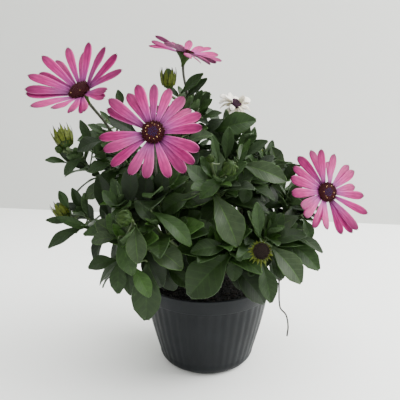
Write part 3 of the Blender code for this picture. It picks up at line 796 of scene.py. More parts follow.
class Room:
    # What is in place, with its owners, so that nothing new grows through it

    def __init__(self):
        self.taken = []

    def add(self, owner, form, freePart=None):
        whole = BVHTree.FromPolygons(*form)
        free = BVHTree.FromPolygons(*freePart) if freePart else whole
        self.taken.append((owner, whole, free, extent(form[0])))

    def isFree(self, form, owner=None, amongOwn=False):
        tree = BVHTree.FromPolygons(*form)
        low, high = extent(form[0])
        for other, whole, free, (itsLow, itsHigh) in self.taken:
            if (other == owner) != amongOwn:
                continue
            if any(low[i] > itsHigh[i] or high[i] < itsLow[i] for i in range(3)):
                continue
            if (free if amongOwn else whole).overlap(tree):
                return False
        return True


room = Room()


def trunkLine(height):
    share = height / plantSize["trunkHeight"]
    foot = Vector((0, 0, potSize["soilLevel"] + plantSize["gap"] + height))
    return foot + plantSize["lean"] * max(share, 0) ** 1.5


def trunkRadius(height):
    s = plantSize
    flare = (s["trunkFlare"] - s["trunkRadius"]) * max(0, 1 - height / (12 * mm)) ** 2
    return flare + s["trunkRadius"] + (s["trunkTop"] - s["trunkRadius"]) * height / s["trunkHeight"]


# Where the picture shows the wall between the twigs, so that no leaf of the rule ends there:
# left, upper, right and lower pixel
openSky = [
    (40, 176, 97, 192), (68, 162, 88, 187), (86, 199, 102, 217), (80, 150, 86, 157),
    (82, 243, 114, 257), (94, 222, 112, 243), (98, 257, 112, 275), (281, 140, 303, 161),
    (206, 84, 220, 90),
]
seenSpace = {"pixels": 8, "front": -70 * mm}  # kept free round a seen leaf's tip, and how far back


def nearSeenTip(spot):
    return any((spot - Vector(leaf[:2])).length < seenSpace["pixels"] for leaf in seenLeaves)


def spoilsPicture(tip):  # a tip of the rule that would stand in open sky or before a seen leaf
    spot = pixelOf(tip)
    if any(a < spot.x < c and b < spot.y < d for a, b, c, d in openSky):
        return True
    return tip.y < seenSpace["front"] and nearSeenTip(spot)


class Mass:
    # A mass of foliage: its bough, twigs, heads and leaves, each kept as a line or a blade

    def __init__(self, name, plan, seed):
        self.name = name
        self.foot, self.shoots, self.tips, self.headPlans = plan
        self.chance = random.Random(seed)
        self.apexes = [Vector(shoot[:3]) * mm for shoot in self.shoots]
        self.centre = sum(self.apexes, Vector()) / len(self.apexes)
        self.lines, self.leaves, self.heads = [], [], []
        self.tubes = []  # (line, first radius, last radius, kind)
        self.reach = extent([Vector(corner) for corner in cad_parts[name].bound_box])

    def limb(self):
        s = plantSize
        radii = tapered(s["bough"], s["boughTip"], 4)
        for step in range(tries["limb"]):
            foot = self.foot * mm + (-1) ** step * 0.5 * mm * step
            foot = min(max(foot, s["bough"] + 1 * mm), s["trunkHeight"] - s["bough"])
            stem = trunkLine(foot)
            out = Vector((self.centre.x - stem.x, self.centre.y - stem.y, 0)).normalized()
            way = (out + upward * 0.35).normalized()
            start = stem + out * (trunkRadius(foot) + s["gap"] + 0.5 * s["bough"])
            end = start.lerp(self.centre, s["boughReach"])
            arrive = ((self.centre - end).normalized() * 0.8 + upward * 0.35).normalized()
            line = bent(start, way, end, arrive, 4)
            if room.isFree(tubeForm(line, [radius + s["gap"] / 2 for radius in radii], 6)):
                break
        self.forkWay = (line[-1] - line[-2]).normalized()
        self.fork = line[-1] + self.forkWay * s["gap"]
        inner = [stem.lerp(start, k / trunkSteps) for k in range(trunkSteps)]
        self.boughLine = inner + bent(start, way, end, arrive, boughSteps)
        self.boughLine.append(self.fork + self.forkWay * 0.5 * mm)
        room.add("bough_" + self.name, tubeForm(line, radii, 6))

    def growTwigs(self):
        s = plantSize
        nearest = min((apex - self.fork).length for apex in self.apexes)
        joint = self.fork + self.forkWay * min(s["joint"], 0.3 * nearest)
        room.add(self.name, tubeForm([self.fork, joint], [s["probeTwig"] * 1.1] * 2, 3))
        short = [self.fork.lerp(joint, k / lineSteps) for k in range(lineSteps + 1)]
        self.tubes.append((short, s["boughTip"], s["twig"] * 1.1, "twig"))
        radii = [s["probeTwig"] * (1 - 0.08 * k) for k in range(5)]
        for apex in self.apexes:
            for sway in range(tries["twig"]):
                lean = Vector([self.chance.uniform(-1, 1) for _ in range(3)]) * 0.06 * sway
                arrive = ((apex - joint).normalized() * 0.7 + upward * 0.5 + lean).normalized()
                way = (self.forkWay + (apex - joint).normalized() * 0.6 + lean * 2).normalized()
                curve = joint - way * s["rootSink"], way, apex, arrive
                line = bent(*curve, 4)
                if room.isFree(tubeForm(line, [r + s["gap"] for r in radii], 3), self.name):
                    break
            self.lines.append(line)
            self.tubes.append((bent(*curve), s["twig"], s["twigTip"], "twig"))
            room.add(self.name, tubeForm(line, radii, 3))

    def growHeads(self):
        s = plantSize
        for k, (kind, x, y, z, bearing, rise) in enumerate(self.headPlans):
            centre, turn, lift = Vector((x, y, z)) * mm, radians(bearing), radians(rise)
            way = Vector((cos(turn) * cos(lift), sin(turn) * cos(lift), sin(lift)))
            head = Head(kind, centre, way)
            line = min(self.lines, key=lambda one: (one[-1] - centre).length)
            begin = (line[-1] - line[-2]).normalized()
            foot = centre - way * (head.size["depth"] - 1.5) * mm
            curve = line[-1] - begin * s["rootSink"] * (1 + 4 * k), begin, foot, way
            room.add(self.name, tubeForm(bent(*curve, 4, 0.35), [s["probeStalk"]] * 5, 3))
            self.tubes.append((bent(*curve, pull=0.35), s["twigTip"], s["stalk"], kind))
            head.openRays(self.chance)
            self.heads.append(head)
            for form in head.forms():
                room.add(self.name, form)

    def carrier(self, tip):  # the place on a twig that suits a leaf with this tip
        best = None
        for line in self.lines:
            for k in range(2, len(line)):
                point = line[k] if k < len(line) - 1 else line[k].lerp(line[k - 1], 0.15)
                score = abs((tip - point).length - plantSize["suitedLeaf"]) - 3 * mm * k
                if best is None or score < best[0]:
                    best = (score, point)
        return best[1]

    def tryLeaf(self, root, tip, up, width, tone, shape="rule", master="plain", arch=None):
        s = plantSize
        if tone not in leafTones and spoilsPicture(tip):
            return False
        way = (tip - root).normalized()
        if arch is None:
            arch = s["leafArch"] * (1 - 1.5 * max(0, way.z))
        sunk = root - way * s["leafSink"]
        wide, thick = width + 2 * s["leafClear"], s["probeLeaf"] + s["leafClear"]
        bend = bladeShapes[shape], arch, s["leafFold"]
        probe = bladeForm(sunk, tip + way * s["leafClear"], up, wide, thick, *bend)
        if min(p.z for p in probe[0]) < s["lowestLeaf"] or not room.isFree(probe, self.name):
            return False
        blade = sunk, tip, up, width, s["probeLeaf"], *bend
        free = bladeForm(*blade, 0.3)
        if not room.isFree(free, self.name, amongOwn=True):
            return False
        room.add(self.name, bladeForm(*blade), free)
        self.leaves.append((sunk, tip, up, width, arch, tone, master))
        return True

    def growOutline(self):
        for place in self.tips:
            tip = Vector(place) * mm
            if nearSeenTip(pixelOf(tip)):
                continue
            root = self.carrier(tip)
            run = tip - root
            up = upward * 0.75 + Vector((0, copysign(0.6, tip.y), 0))
            width = min(plantSize["leafWidth"] * run.length, plantSize["widestLeaf"])
            for attempt in range(tries["outline"]):
                roll = radians(self.chance.uniform(-9, 9) * attempt)
                turnedUp = Matrix.Rotation(roll, 3, run.normalized()) @ up
                if self.tryLeaf(root, tip, turnedUp, width, "outer", "outline", "fine"):
                    break
                root = self.carrier(tip).lerp(self.lines[0][-1], 0.05 * attempt)
                width *= 0.96

    def growLeaves(self):
        for line, (_, _, _, count, length) in zip(self.lines, self.shoots):
            firstTurn = self.chance.uniform(0, fullTurn)
            count = round(count * plantSize["leafFill"])
            for k in range(count):
                share = k / (count - 1)
                root, along = alongLine(line, (0.32 + 0.65 * share) * (len(line) - 1))
                for attempt in range(tries["leaf"]):
                    nudge = self.chance.uniform(-0.25, 0.25) * attempt
                    spoke = aside(firstTurn + k * goldenTurn + nudge, 0.1, along)
                    openAngle = radians(98 - 62 * share + self.chance.uniform(-9, 9))
                    way = along * cos(openAngle) + spoke * sin(openAngle)
                    long = length * mm * (1 - 0.35 * share**3) * self.chance.uniform(0.9, 1.1)
                    tip = root + way * long - upward * long * 0.4 * (1 - share)
                    mid = root.lerp(tip, 0.6)
                    if tip.y < 0 and tip.z < plantSize["lowestTip"]:
                        continue
                    own = min((mid - apex).length for apex in self.apexes)
                    own -= plantSize["ownShare"]
                    if any((mid - apex).length < own for mass in plant for apex in mass.apexes):
                        continue
                    # Leaves low on a shoot lie inside the crown and get darker tones: painted shade
                    tone = "inner" if share < 0.45 else "outer"
                    if self.tryLeaf(root, tip, outward(mid), plantSize["leafWidth"] * long, tone):
                        break


# Heads: the tips of the rays as they are seen in the picture, clockwise, with a mark on the ones
# that point towards the eye or away from it

near, far = -1, 1
seenTips = {
    "front_bloom": [
        (137, 84), (154, 84), (170, 88), (184, 97), (192, 109), (201, 114), (201, 127), (198, 149),
        (194, 163), (185, 172), (169, 177), (146, 178), (130, 173), (111, 165), (104, 150),
        (99, 137), (107, 108), (109, 99), (128, 93)],
    "left_bloom": [
        (25, 88), (28, 74), (39, 73), (42, 55), (56, 60), (67, 47), (84, 50), (88, 42), (103, 47),
        (116, 54), (120, 69), (106, 90), (104, 97, near), (82, 110, near), (70, 112, near),
        (52, 108, near), (31, 104), (26, 93)],
    "top_bloom": [
        (149, 45), (156, 34), (165, 42, near), (173, 41, far), (178, 42, near), (190, 40, far),
        (203, 45, far), (211, 46, far), (218, 54, far), (222, 59), (217, 60, near), (211, 62, near),
        (201, 61, near), (189, 56, near), (152, 40, far)],
    "right_bloom": [
        (312, 150), (322, 150), (330, 161), (335, 154), (350, 165), (355, 171), (355, 187),
        (365, 196), (368, 213), (358, 229), (353, 232), (342, 234), (327, 229), (315, 227),
        (306, 216), (302, 207), (292, 193), (291, 178), (294, 167), (299, 156)],
    "withered_bloom": [
        (225, 93), (220, 99), (219, 106), (225, 114), (232, 117), (241, 115), (246, 112),
        (250, 107), (251, 101), (250, 97), (239, 95)],
}


class Head:
    # A flower head or bud: its middle, the way it faces, and its rays as (turn, lift, reach)

    def __init__(self, kind, centre, way):
        self.kind, self.centre, self.way = kind, centre, way
        self.size = dict(zip(headParts, headSizes[kind]))
        self.side = squareTo(upward if abs(way.z) < 0.9 else Vector((1, 0, 0)), way)
        self.other = way.cross(self.side)
        self.radius = self.size["radius"] * mm
        self.rays = []

    def openRays(self, chance):
        for k in range(self.size["rays"]):
            lift = self.size["cup"] + chance.uniform(-3, 3) + 3 * (-1) ** k
            turn = fullTurn * (k + 0.5) / self.size["rays"]
            reach = self.size["reach"] * mm * chance.uniform(0.93, 1.03)
            self.rays.append((turn, radians(lift), reach))

    def spoke(self, turn):
        return self.side * cos(turn) + self.other * sin(turn)

    def forms(self):  # plain forms that keep the head's room free
        calyx = self.centre - self.way * self.size["depth"] * mm
        top = self.centre + self.way * max(self.size["dome"], 1) * mm
        radii = [0.3 * self.radius, self.radius, 0.6 * self.radius]
        yield tubeForm([calyx, self.centre, top], radii, 8)
        for turn, lift, reach in self.rays:
            spoke = self.spoke(turn)
            ahead = spoke * cos(lift) + self.way * sin(lift)
            root = self.centre + spoke * 0.8 * self.radius
            tip = self.centre + spoke * self.radius + ahead * (reach - self.radius)
            up = self.way * cos(lift) - spoke * sin(lift)
            width = (self.size["width"] + 0.6) * mm
            yield bladeForm(root, tip, up, width, 1 * mm, bladeShapes["ray"])

    def followPhoto(self, tips):
        # Each ray's tip is put where the sight line through its pixel comes nearest to the head
        eye = view["place"]
        self.rays = []
        for u, v, *mark in tips:
            sight = (atPixel(u, v, 0) - eye).normalized()
            middle = eye + sight * (self.centre - eye).dot(sight)
            apart = (middle - self.centre).length
            half = sqrt(max((self.size["reach"] * mm) ** 2 - apart**2, 0))
            choices = []
            for sign in mark or (near, far):
                out = middle + sight * half * sign - self.centre
                lift = asin(max(-1, min(1, out.normalized().dot(self.way))))
                choices.append((abs(lift - radians(self.size["cup"])), lift, out))
            _, lift, out = min(choices, key=lambda each: each[0])
            turn = atan2(out.dot(self.other), out.dot(self.side))
            self.rays.append((turn, lift, out.length))


# Masters: what repeats is modelled once here and copied

leafShape = {  # all in half widths
    "fold": 0.2,
    "rib": 0.07,  # depth of the groove over the midrib
    "ribWidth": 0.16,
    "thickness": 0.06,
}
# Stations along a ray, a leaf and a bract, and its width there. A leaf has a narrow foot, is
# widest past the middle and ends in a sharp tip
rayStations = [(0, 0.3), (0.1, 0.4), (0.22, 0.52), (0.36, 0.68), (0.5, 0.83), (0.62, 0.94),
               (0.74, 1), (0.84, 0.95), (0.92, 0.78), (0.97, 0.53), (1, 0.2)]
leafOutline = [(0, 0.12), (0.09, 0.19), (0.19, 0.38), (0.29, 0.62), (0.39, 0.83), (0.49, 0.96),
               (0.58, 1), (0.67, 0.97), (0.77, 0.84), (0.86, 0.62), (0.93, 0.38), (0.975, 0.16),
               (1, 0.02)]
bractOutline = [(0, 0.7), (0.2, 0.95), (0.42, 0.92), (0.62, 0.62), (0.8, 0.3), (1, 0.03)]
plainColumns = (-1, -0.96, -0.05, 0.05, 0.96, 1)
fineColumns = (-1, -0.965, -0.5, -0.04, 0.04, 0.5, 0.965, 1)
rayColumns = (-1, -0.72, -0.36, 0, 0.36, 0.72, 1)


def gridMaster(name, columns, stations, rise, thickness):
    # Rows of stations along +Y and columns across, moved to the outline and up by rise(x, y)
    across, along = len(columns) - 1, len(stations) - 1
    deselect()
    bpy.ops.mesh.primitive_grid_add(x_subdivisions=across, y_subdivisions=along, size=2)
    made = rename(name)
    for vert in made.data.vertices:
        far, wide = stations[round((vert.co.y + 1) / 2 * along)]
        vert.co = (columns[round((vert.co.x + 1) / 2 * across)] * wide, far, 0)
        vert.co.z = rise(vert.co.x, vert.co.y)
    applyModifier(made, "SOLIDIFY", thickness=thickness, offset=-1)
    return made


def leafMaster(name, columns, stations):
    def rise(x, y):
        groove = leafShape["rib"] * max(0, 1 - abs(x) / leafShape["ribWidth"])
        return leafShape["fold"] * abs(x) - groove

    def tone(centre, normal):  # 0 blade, 1 midrib, 2 rim, 3 underside
        if name == "bract" and centre.y > 0.72:
            return 2
        if normal.z < -0.3:
            return 3
        reach = abs(centre.x) / np.interp(centre.y, *zip(*stations))
        if abs(normal.z) <= 0.3 or reach > 0.955:
            return 2
        return 1 if reach < 0.04 and centre.y < 0.93 else 0

    return masterArrays(gridMaster(name, columns, stations, rise, leafShape["thickness"]), tone)


def rayMaster(name):
    def widthAt(y):
        return np.interp(y, *zip(*rayStations))

    def rise(x, y):
        wide = widthAt(y)
        ridge = 0.1 * cos(abs(x) / wide / 0.36 * pi) * min(1, y * 3) * wide
        return ridge + 0.5 * wide * (1 - y) ** 2 * (x / wide) ** 2 - 0.12 * (x / wide) ** 2

    def spots(points):
        across = 0.5 + 0.5 * points[:, 0] / widthAt(points[:, 1])
        return np.stack([points[:, 1], across], axis=1)

    made = gridMaster(name, rayColumns, rayStations, rise, 0.07)
    return masterArrays(made, lambda centre, normal: int(normal.z < -0.2), spots)


def tubeMaster(name, sides, rows):  # a closed unit tube with a ring of corners at each whole height
    return masterArrays(turned(name, [(1, row) for row in range(rows + 1)], sides))


def tubeCopy(master, line, radii, swell=None):
    # A unit tube laid along a line; swell gives a share of the radius at each turn and row
    rows = np.rint(master["points"][:, 2]).astype(int)
    along = [(*point, *side, *other) for point, (side, other) in zip(line, lineFrames(line))]
    middles, sides, others = np.split(np.array(along)[rows], 3, axis=1)
    x, y = master["points"][:, :1], master["points"][:, 1:2]
    reach = np.asarray(radii)[rows][:, None]
    if swell:
        turns = np.arctan2(y, x)[:, 0]
        reach = reach * np.array([swell(t, r) for t, r in zip(turns, rows)])[:, None]
    return middles + (sides * x + others * y) * reach


def bladeCopy(kind, root, tip, up, half, arch, twist=0.0, droop=0.0, wave=0.0, phase=0.0):
    # A master blade laid from root to tip, its upper side towards up
    long = (tip - root).length
    ahead = (tip - root) / long
    over = squareTo(up, ahead)
    x, y, z = masters[kind]["points"].T
    wave = wave * np.sin(y * 11 + phase + np.sign(x) * 1.1) * np.abs(x) * np.minimum(1, 3 * (1 - y))
    wide, high = x * half, (z + wave) * half
    c, s = np.cos(twist * (y - 0.4)), np.sin(twist * (y - 0.4))
    lift = wide * s + high * c + arch * long * 4 * y * (1 - y) - droop * long * y**3
    parts = ((y * long, ahead), (wide * c - high * s, ahead.cross(over)), (lift, over))
    return np.array(root) + sum(amount[:, None] * np.array(axis) for amount, axis in parts)


def toothed(stations, size=0.022):  # a few shallow teeth past the middle
    return [
        (far, wide * (1 + size * (-1) ** k if 0.3 < far < 0.9 else 1))
        for k, (far, wide) in enumerate(stations)
    ]


masters = {
    "plain": leafMaster("plainLeaf", plainColumns, leafOutline),
    "fine": leafMaster("fineLeaf", fineColumns, leafOutline),
    "toothed": leafMaster("toothedLeaf", fineColumns, toothed(leafOutline)),
    "bract": leafMaster("bract", (-1, -0.5, 0, 0.5, 1), bractOutline),
    "ray": rayMaster("ray"),
    "twig": tubeMaster("twig", 8, lineSteps),
    "bough": tubeMaster("bough", 20, trunkSteps + boughSteps + 1),
}
print("masters modelled")


# Growing

innerLeaves = {"count": 11, "from": 0.4, "length": (34 * mm, 48 * mm)}
rosette = {"leaves": 7, "length": (12 * mm, 22 * mm)}
sideShoots = {
    "count": 6,
    "sparse": ("left_bud_high", "left_bud_low"),  # with one shoot only
    "length": (6 * mm, 18 * mm),
    "radius": 0.8 * mm,
    "leaves": 4,
    "leafLength": (14 * mm, 30 * mm),
    "overhang": 2 * mm,  # past the reach of the mass
}


def growInnerLeaves(mass):
    # Older leaves low on the limb close the middle of the crown, in darker tones that are painted
    # shade
    line = mass.boughLine
    first = mass.chance.uniform(0, fullTurn)
    for k in range(innerLeaves["count"]):
        share = innerLeaves["from"] + (1 - innerLeaves["from"]) * k / innerLeaves["count"]
        root, along = alongLine(line, int(share * (len(line) - 2)))
        for attempt in range(tries["inner"]):
            spoke = aside(first + (k + 0.37 * attempt) * goldenTurn, 0.15, along)
            size = mass.chance.uniform(*innerLeaves["length"])
            tip = root + (spoke + along * 0.45).normalized() * size
            if tip.y < 0 and tip.z < plantSize["lowestTip"]:
                continue
            if mass.tryLeaf(root, tip, outward(tip, 0.5, 0.8), 0.42 * size, "shade"):
                break


def growRosette(mass):
    # Young upright leaves crowd the end of each shoot
    for line in mass.lines:
        end, along = line[-1], (line[-1] - line[-2]).normalized()
        first = mass.chance.uniform(0, fullTurn)
        for k in range(rosette["leaves"]):
            share = k / (rosette["leaves"] - 1)
            root = end.lerp(line[-2], 0.3 * (1 - share))
            for attempt in range(tries["rosette"]):
                spoke = aside(first + (k + 0.4 * attempt) * goldenTurn, 0.1, along)
                way = (along * (0.5 + share) + spoke * 0.7).normalized()
                size = mass.chance.uniform(*rosette["length"]) * (1.1 - 0.4 * share)
                up = along * 0.4 - spoke * 0.6 + upward * 0.3
                if mass.tryLeaf(root, root + way * size, up, size * 0.38, "young"):
                    break


def growSideShoots(mass):
    # Finer shoots in the axils, each with a few small leaves, within the reach of the mass
    low, high = mass.reach
    extra = sideShoots["overhang"]
    count = 1 if mass.name in sideShoots["sparse"] else sideShoots["count"]
    for line in mass.lines:
        for k in range(count):
            place = (0.3 + 0.66 * (k + mass.chance.random()) / count) * (len(line) - 1)
            root, along = alongLine(line, place)
            turn = mass.chance.uniform(0, fullTurn)
            way = (along * 0.7 + aside(turn, 0.1, along)).normalized()
            long = mass.chance.uniform(*sideShoots["length"])
            end = root + (way + upward * 0.25).normalized() * long
            shoot = bent(root, way, end, (way + upward * 0.5).normalized())
            kept = len(mass.leaves)
            for leaf in range(sideShoots["leaves"]):
                share = (leaf + 1) / sideShoots["leaves"]
                start = shoot[int(lineSteps * (0.35 + 0.65 * share))]
                for attempt in range(tries["side"]):
                    out = aside(turn + (leaf + 0.3 * attempt) * goldenTurn, 0.2, way)
                    lean = 0.35 + 0.5 * share
                    size = mass.chance.uniform(*sideShoots["leafLength"]) * (1 - 0.25 * share)
                    tip = start + (way * lean + out * (1 - lean * 0.6)).normalized() * size
                    if any(not low[i] - extra <= tip[i] <= high[i] + extra for i in range(3)):
                        continue
                    width = size * mass.chance.uniform(0.4, 0.52)
                    if mass.tryLeaf(start, tip, outward(tip), width, "small"):
                        break
            if len(mass.leaves) > kept:
                mass.tubes.append((shoot, sideShoots["radius"], sideShoots["radius"] * 0.7, "twig"))


# Leaves read off the picture: the tip's and the base's pixel, width in mm, tone, how deep the twig
# lies and how far the tip comes forward of the base in mm
seenLeaves = [
    (47, 247, 84, 227, 14, "dark", -45, 10), (46, 220, 70, 221, 8, "dark", -40, 4),
    (59, 191, 69, 209, 9, "full", -40, 2), (72, 188, 84, 214, 10, "dark", -42, 4),
    (84, 197, 115, 185, 19, "dull", -66, 5), (98, 175, 110, 219, 17, "deep", -75, 8),
    (103, 191, 119, 209, 12, "full", -85, 4), (88, 267, 116, 260, 15, "dark", -85, 8),
    (118, 294, 119, 260, 15, "dark", -88, 10), (133, 275, 119, 238, 18, "full", -96, 10),
    (138, 264, 135, 225, 18, "dull", -98, 10), (150, 297, 133, 266, 15, "light", -90, 10),
    (146, 322, 147, 262, 27, "dark", -84, 4, {"arch": 0.03}),
    (163, 287, 140, 246, 22, "deep", -72, 8), (172, 262, 145, 236, 20, "deep", -60, 6),
    (84, 235, 120, 224, 13, "full", -72, 6), (92, 241, 118, 236, 9, "dull", -72, 4),
    (91, 241, 116, 237, 14, "dull", -85, 6), (83, 234, 105, 232, 10, "dark", -75, 4),
    (45, 159, 67, 163, 8, "full", -30, 4), (64, 175, 82, 158, 12, "dark", -45, 4),
    (80, 120, 92, 146, 9, "dark", -45, 4), (88, 124, 106, 134, 9, "full", -50, 4),
    (77, 150, 104, 140, 16, "deep", -60, 6), (89, 172, 109, 164, 14, "dark", -65, 6),
    (131, 166, 128, 207, 17, "deep", -80, 6), (146, 172, 143, 212, 18, "deep", -84, 6),
    (163, 170, 155, 209, 18, "deep", -80, 6),
    (191, 246, 152, 212, 16, "full", -95, 6, {"arch": 0.2}),
    (238, 247, 214, 194, 28, "dull", -85, 10), (191, 251, 227, 247, 18, "dark", -88, 10),
    (188, 296, 230, 254, 36, "dark", -78, 10), (233, 281, 236, 256, 15, "dark", -75, 8),
    (183, 268, 147, 243, 24, "dull", -86, 10), (188, 287, 167, 266, 15, "dark", -74, 8),
    (205, 271, 184, 247, 18, "dark", -74, 8), (200, 198, 225, 178, 15, "full", -80, 6),
    (243, 203, 249, 184, 13, "dark", -74, 6), (162, 212, 191, 195, 20, "dark", -70, 4),
    (257, 203, 260, 238, 12, "full", -80, 6), (262, 237, 300, 216, 20, "dull", -62, 12),
    (319, 270, 286, 239, 20, "full", -55, 10), (302, 283, 271, 246, 24, "dull", -70, 10),
    (271, 303, 262, 262, 18, "dark", -72, 12), (266, 303, 234, 268, 25, "deep", -64, 10),
    (176, 290, 158, 262, 20, "deep", -64, 6), (249, 290, 226, 262, 20, "deep", -60, 6),
    (186, 250, 158, 222, 20, "deep", -44, 2), (253, 238, 243, 206, 17, "deep", -44, 2),
    (281, 281, 266, 246, 16, "dark", -50, 2), (131, 296, 127, 258, 13, "dark", -60, 2),
    (108, 117, 137, 133, 15, "deep", -66, 2), (57, 217, 92, 229, 10, "full", -42, 4),
    (205, 284, 190, 258, 20, "deep", -62, 6), (193, 284, 178, 248, 18, "deep", -50, 2),
    (311, 240, 303, 218, 12, "full", -45, 6), (283, 279, 272, 256, 13, "dark", -68, 6),
    (256, 120, 215, 130, 25, "full", -22, 12, {"up": Vector((0, -0.9, 0.35))}),
    (229, 127, 226, 160, 13, "full", -50, 0), (257, 135, 238, 150, 9, "full", -40, 4),
    (243, 133, 238, 158, 6, "full", -50, 2), (250, 139, 240, 160, 6, "light", -52, 2),
    (247, 150, 238, 165, 5, "young", -60, 2), (213, 136, 219, 163, 8, "full", -58, 4),
    (267, 140, 245, 156, 11, "dark", -40, 4),
    (272, 147, 283, 175, 18, "dull", -30, 4, {"up": Vector((0.2, -0.9, 0.3))}),
    (287, 181, 241, 164, 20, "dull", -60, 6, {"up": Vector((0.1, -0.9, 0.4))}),
    (295, 164, 284, 182, 12, "dark", -30, 4), (203, 73, 181, 93, 14, "full", -2, 4),
    (207, 78, 186, 97, 12, "dark", 2, 4), (202, 90, 192, 106, 9, "full", -6, 4),
    (209, 92, 199, 108, 9, "dark", -8, 4), (212, 99, 198, 112, 9, "full", -12, 4),
    (166, 86, 180, 98, 12, "dark", -6, 4), (222, 113, 203, 118, 10, "dark", -14, 4),
    (204, 108, 223, 126, 16, "dark", -18, 4), (205, 132, 224, 119, 14, "deep", -14, 4),
    (212, 134, 186, 141, 14, "dull", -60, 6), (118, 90, 122, 108, 8, "dark", -50, 4),
    (100, 111, 114, 127, 7, "full", -50, 4), (96, 124, 114, 132, 13, "dark", -48, 6),
    (97, 186, 121, 171, 16, "dark", -62, 4),
]
seenRule = {
    "width": 0.9,  # of the width above
    "shift": 2.5,  # mm nearer or farther with each try
    "narrower": 0.02,  # with each try
    "up": Vector((0, -0.75, 0.75)),
}


def growSeenLeaves():
    # A leaf seen in the picture springs from the twig that lies nearest to its base
    for u, v, baseU, baseV, wide, tone, deep, out, *more in seenLeaves:
        more = more[0] if more else {}
        best = None
        for mass in plant:
            for line, *_ in mass.tubes:
                for k in range(2, lineSteps + 1, 2):
                    depth = line[k].y / mm
                    score = (atPixel(baseU, baseV, depth) - line[k]).length
                    score += 0.15 * abs(depth - deep) * mm
                    if best is None or score < best[0]:
                        best = (score, mass, line, k)
        _, mass, line, k = best
        twigPoint = line[k]
        up = more.get("up", seenRule["up"])
        for attempt in range(tries["seen"]):
            shift = (-1) ** attempt * seenRule["shift"] * attempt
            base = atPixel(baseU, baseV, 0.5 * (twigPoint.y / mm + deep) + 0.5 * shift)
            tip = atPixel(u, v, base.y / mm - out + shift)
            way = (tip - base).normalized()
            rolled = Matrix.Rotation(radians(4 * shift), 3, way) @ up
            width = wide * seenRule["width"] * mm * (1 - seenRule["narrower"] * attempt)
            if mass.tryLeaf(base, tip, rolled, width, tone, "seen", "fine", more.get("arch")):
                if (base - twigPoint).length > plantSize["sprigLeast"]:
                    ahead = (line[min(k + 1, lineSteps)] - twigPoint).normalized()
                    shoot = bent(twigPoint, ahead, base, way)
                    mass.tubes.append((shoot, *plantSize["sprig"], "twig"))
                break
        else:
            print("no room for the leaf at", u, v)


def growPlant():
    for name in ("pot", "soil"):
        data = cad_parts[name].data
        corners = [vert.co.copy() for vert in data.vertices]
        room.add(name, (corners, [tuple(face.vertices) for face in data.polygons]))
    heights = [plantSize["trunkHeight"] * share for share in (0, 0.08, 0.18, 0.35, 0.6, 0.85, 1)]
    radii = [trunkRadius(height) for height in heights]
    room.add("trunk", tubeForm([trunkLine(height) for height in heights], radii, 10))
    for grow in (Mass.limb, Mass.growTwigs, Mass.growHeads):
        for mass in plant:
            grow(mass)
    growSeenLeaves()
    byRule = (Mass.growOutline, Mass.growLeaves, growInnerLeaves, growRosette, growSideShoots)
    for grow in byRule:
        for mass in plant:
            grow(mass)
    print("leaves grown:", sum(len(mass.leaves) for mass in plant))


plant = [Mass(name, plan, seed) for seed, (name, plan) in enumerate(masses.items())]
growPlant()


# Trunk, boughs, twigs and the dry thread

barkLook = {"ridges": 9, "ridge": 0.07, "lumps": 0.16, "girth": 1.12}  # shares of the radius
thread = {  # dry and hanging at the right: its bends in the picture and how deep they lie in mm
    "bends": [(278, 262, -62), (279, 281, -64), (280, 307, -66), (286, 315, -68), (288, 326, -70),
              (287, 336, -70)],
    "radius": 0.7 * mm,
}


def barkSwell(seed):
    def swell(turn, row):
        spot = Vector((cos(turn) * 1.3, sin(turn) * 1.3, row * 0.22 + seed))
        cracks = 1 - abs(sin(turn * barkLook["ridges"] / 2 + 2 * noise.noise(spot * 0.8)))
        return 1 + barkLook["lumps"] * noise.noise(spot * 1.7) - barkLook["ridge"] * cracks**3

    return swell


def makeStems():
    copies = []
    for seed, mass in enumerate(plant):
        radii = tapered(0, plantSize["bough"] - plantSize["boughTip"], len(mass.boughLine) - 1)
        radii = [plantSize["bough"] * barkLook["girth"] - thinner for thinner in radii]
        copies.append(tubeCopy(masters["bough"], mass.boughLine, radii, barkSwell(seed * 3.7)))
    rounded = [0.95, 0.85, 0.65, 0.35]  # the trunk's upper end
    ends = [1] * (len(plant[0].boughLine) - len(rounded)) + rounded
    heights = tapered(-2 * mm, plantSize["trunkHeight"] + 1 * mm, len(ends) - 1)
    radii = [trunkRadius(max(height, 0)) * end for height, end in zip(heights, ends)]
    line = [trunkLine(height) for height in heights]
    copies.append(tubeCopy(masters["bough"], line, radii, barkSwell(91)))
    stems = joinCopies("stems", [(masters["bough"], copies, [[0]] * len(copies))], [woodPaint])
    finishPiece(stems, "bark", "trunk", *["bough_" + mass.name for mass in plant])


def blossomPiece(name, slot, groups, paints, withMap=False):
    paints = [blossomPaints[paint] for paint in paints]
    finishPiece(joinCopies(name, groups, paints, withMap), slot)


def makeTwigs():
    copies, tones = [], []
    for mass in plant:
        for line, first, last, kind in mass.tubes:
            radii = tapered(first, last, lineSteps)
            if kind != "twig":  # a stalk, wider below its head
                radii[-3:] = [last, last * 1.1, last * 1.35]
            copies.append(tubeCopy(masters["twig"], line, radii))
            tones.append([int(kind in ("bloom", "cup bloom", "withered"))])
    groups = [(masters["twig"], copies, tones)]
    blossomPiece("twigs", "foliage", groups, ("stalk", "bloomStalk"))


def makeThread():
    bends = [atPixel(*bend) for bend in thread["bends"]]
    ends = [bends[0], *bends, bends[-1]]
    copies = []
    for before, start, end, after in zip(ends, bends, bends[1:], ends[3:]):
        leave, arrive = (end - before).normalized(), (after - start).normalized()
        line = bent(start, leave, end, arrive, pull=0.33)
        radii = [thread["radius"]] * (lineSteps + 1)
        copies.append(tubeCopy(masters["twig"], line, radii))
    groups = [(masters["twig"], copies, [[0]] * len(copies))]
    blossomPiece("dryThread", "foliage", groups, ["thread"])


makeStems()
makeTwigs()
makeThread()
print("stems and twigs made")


# Leaves

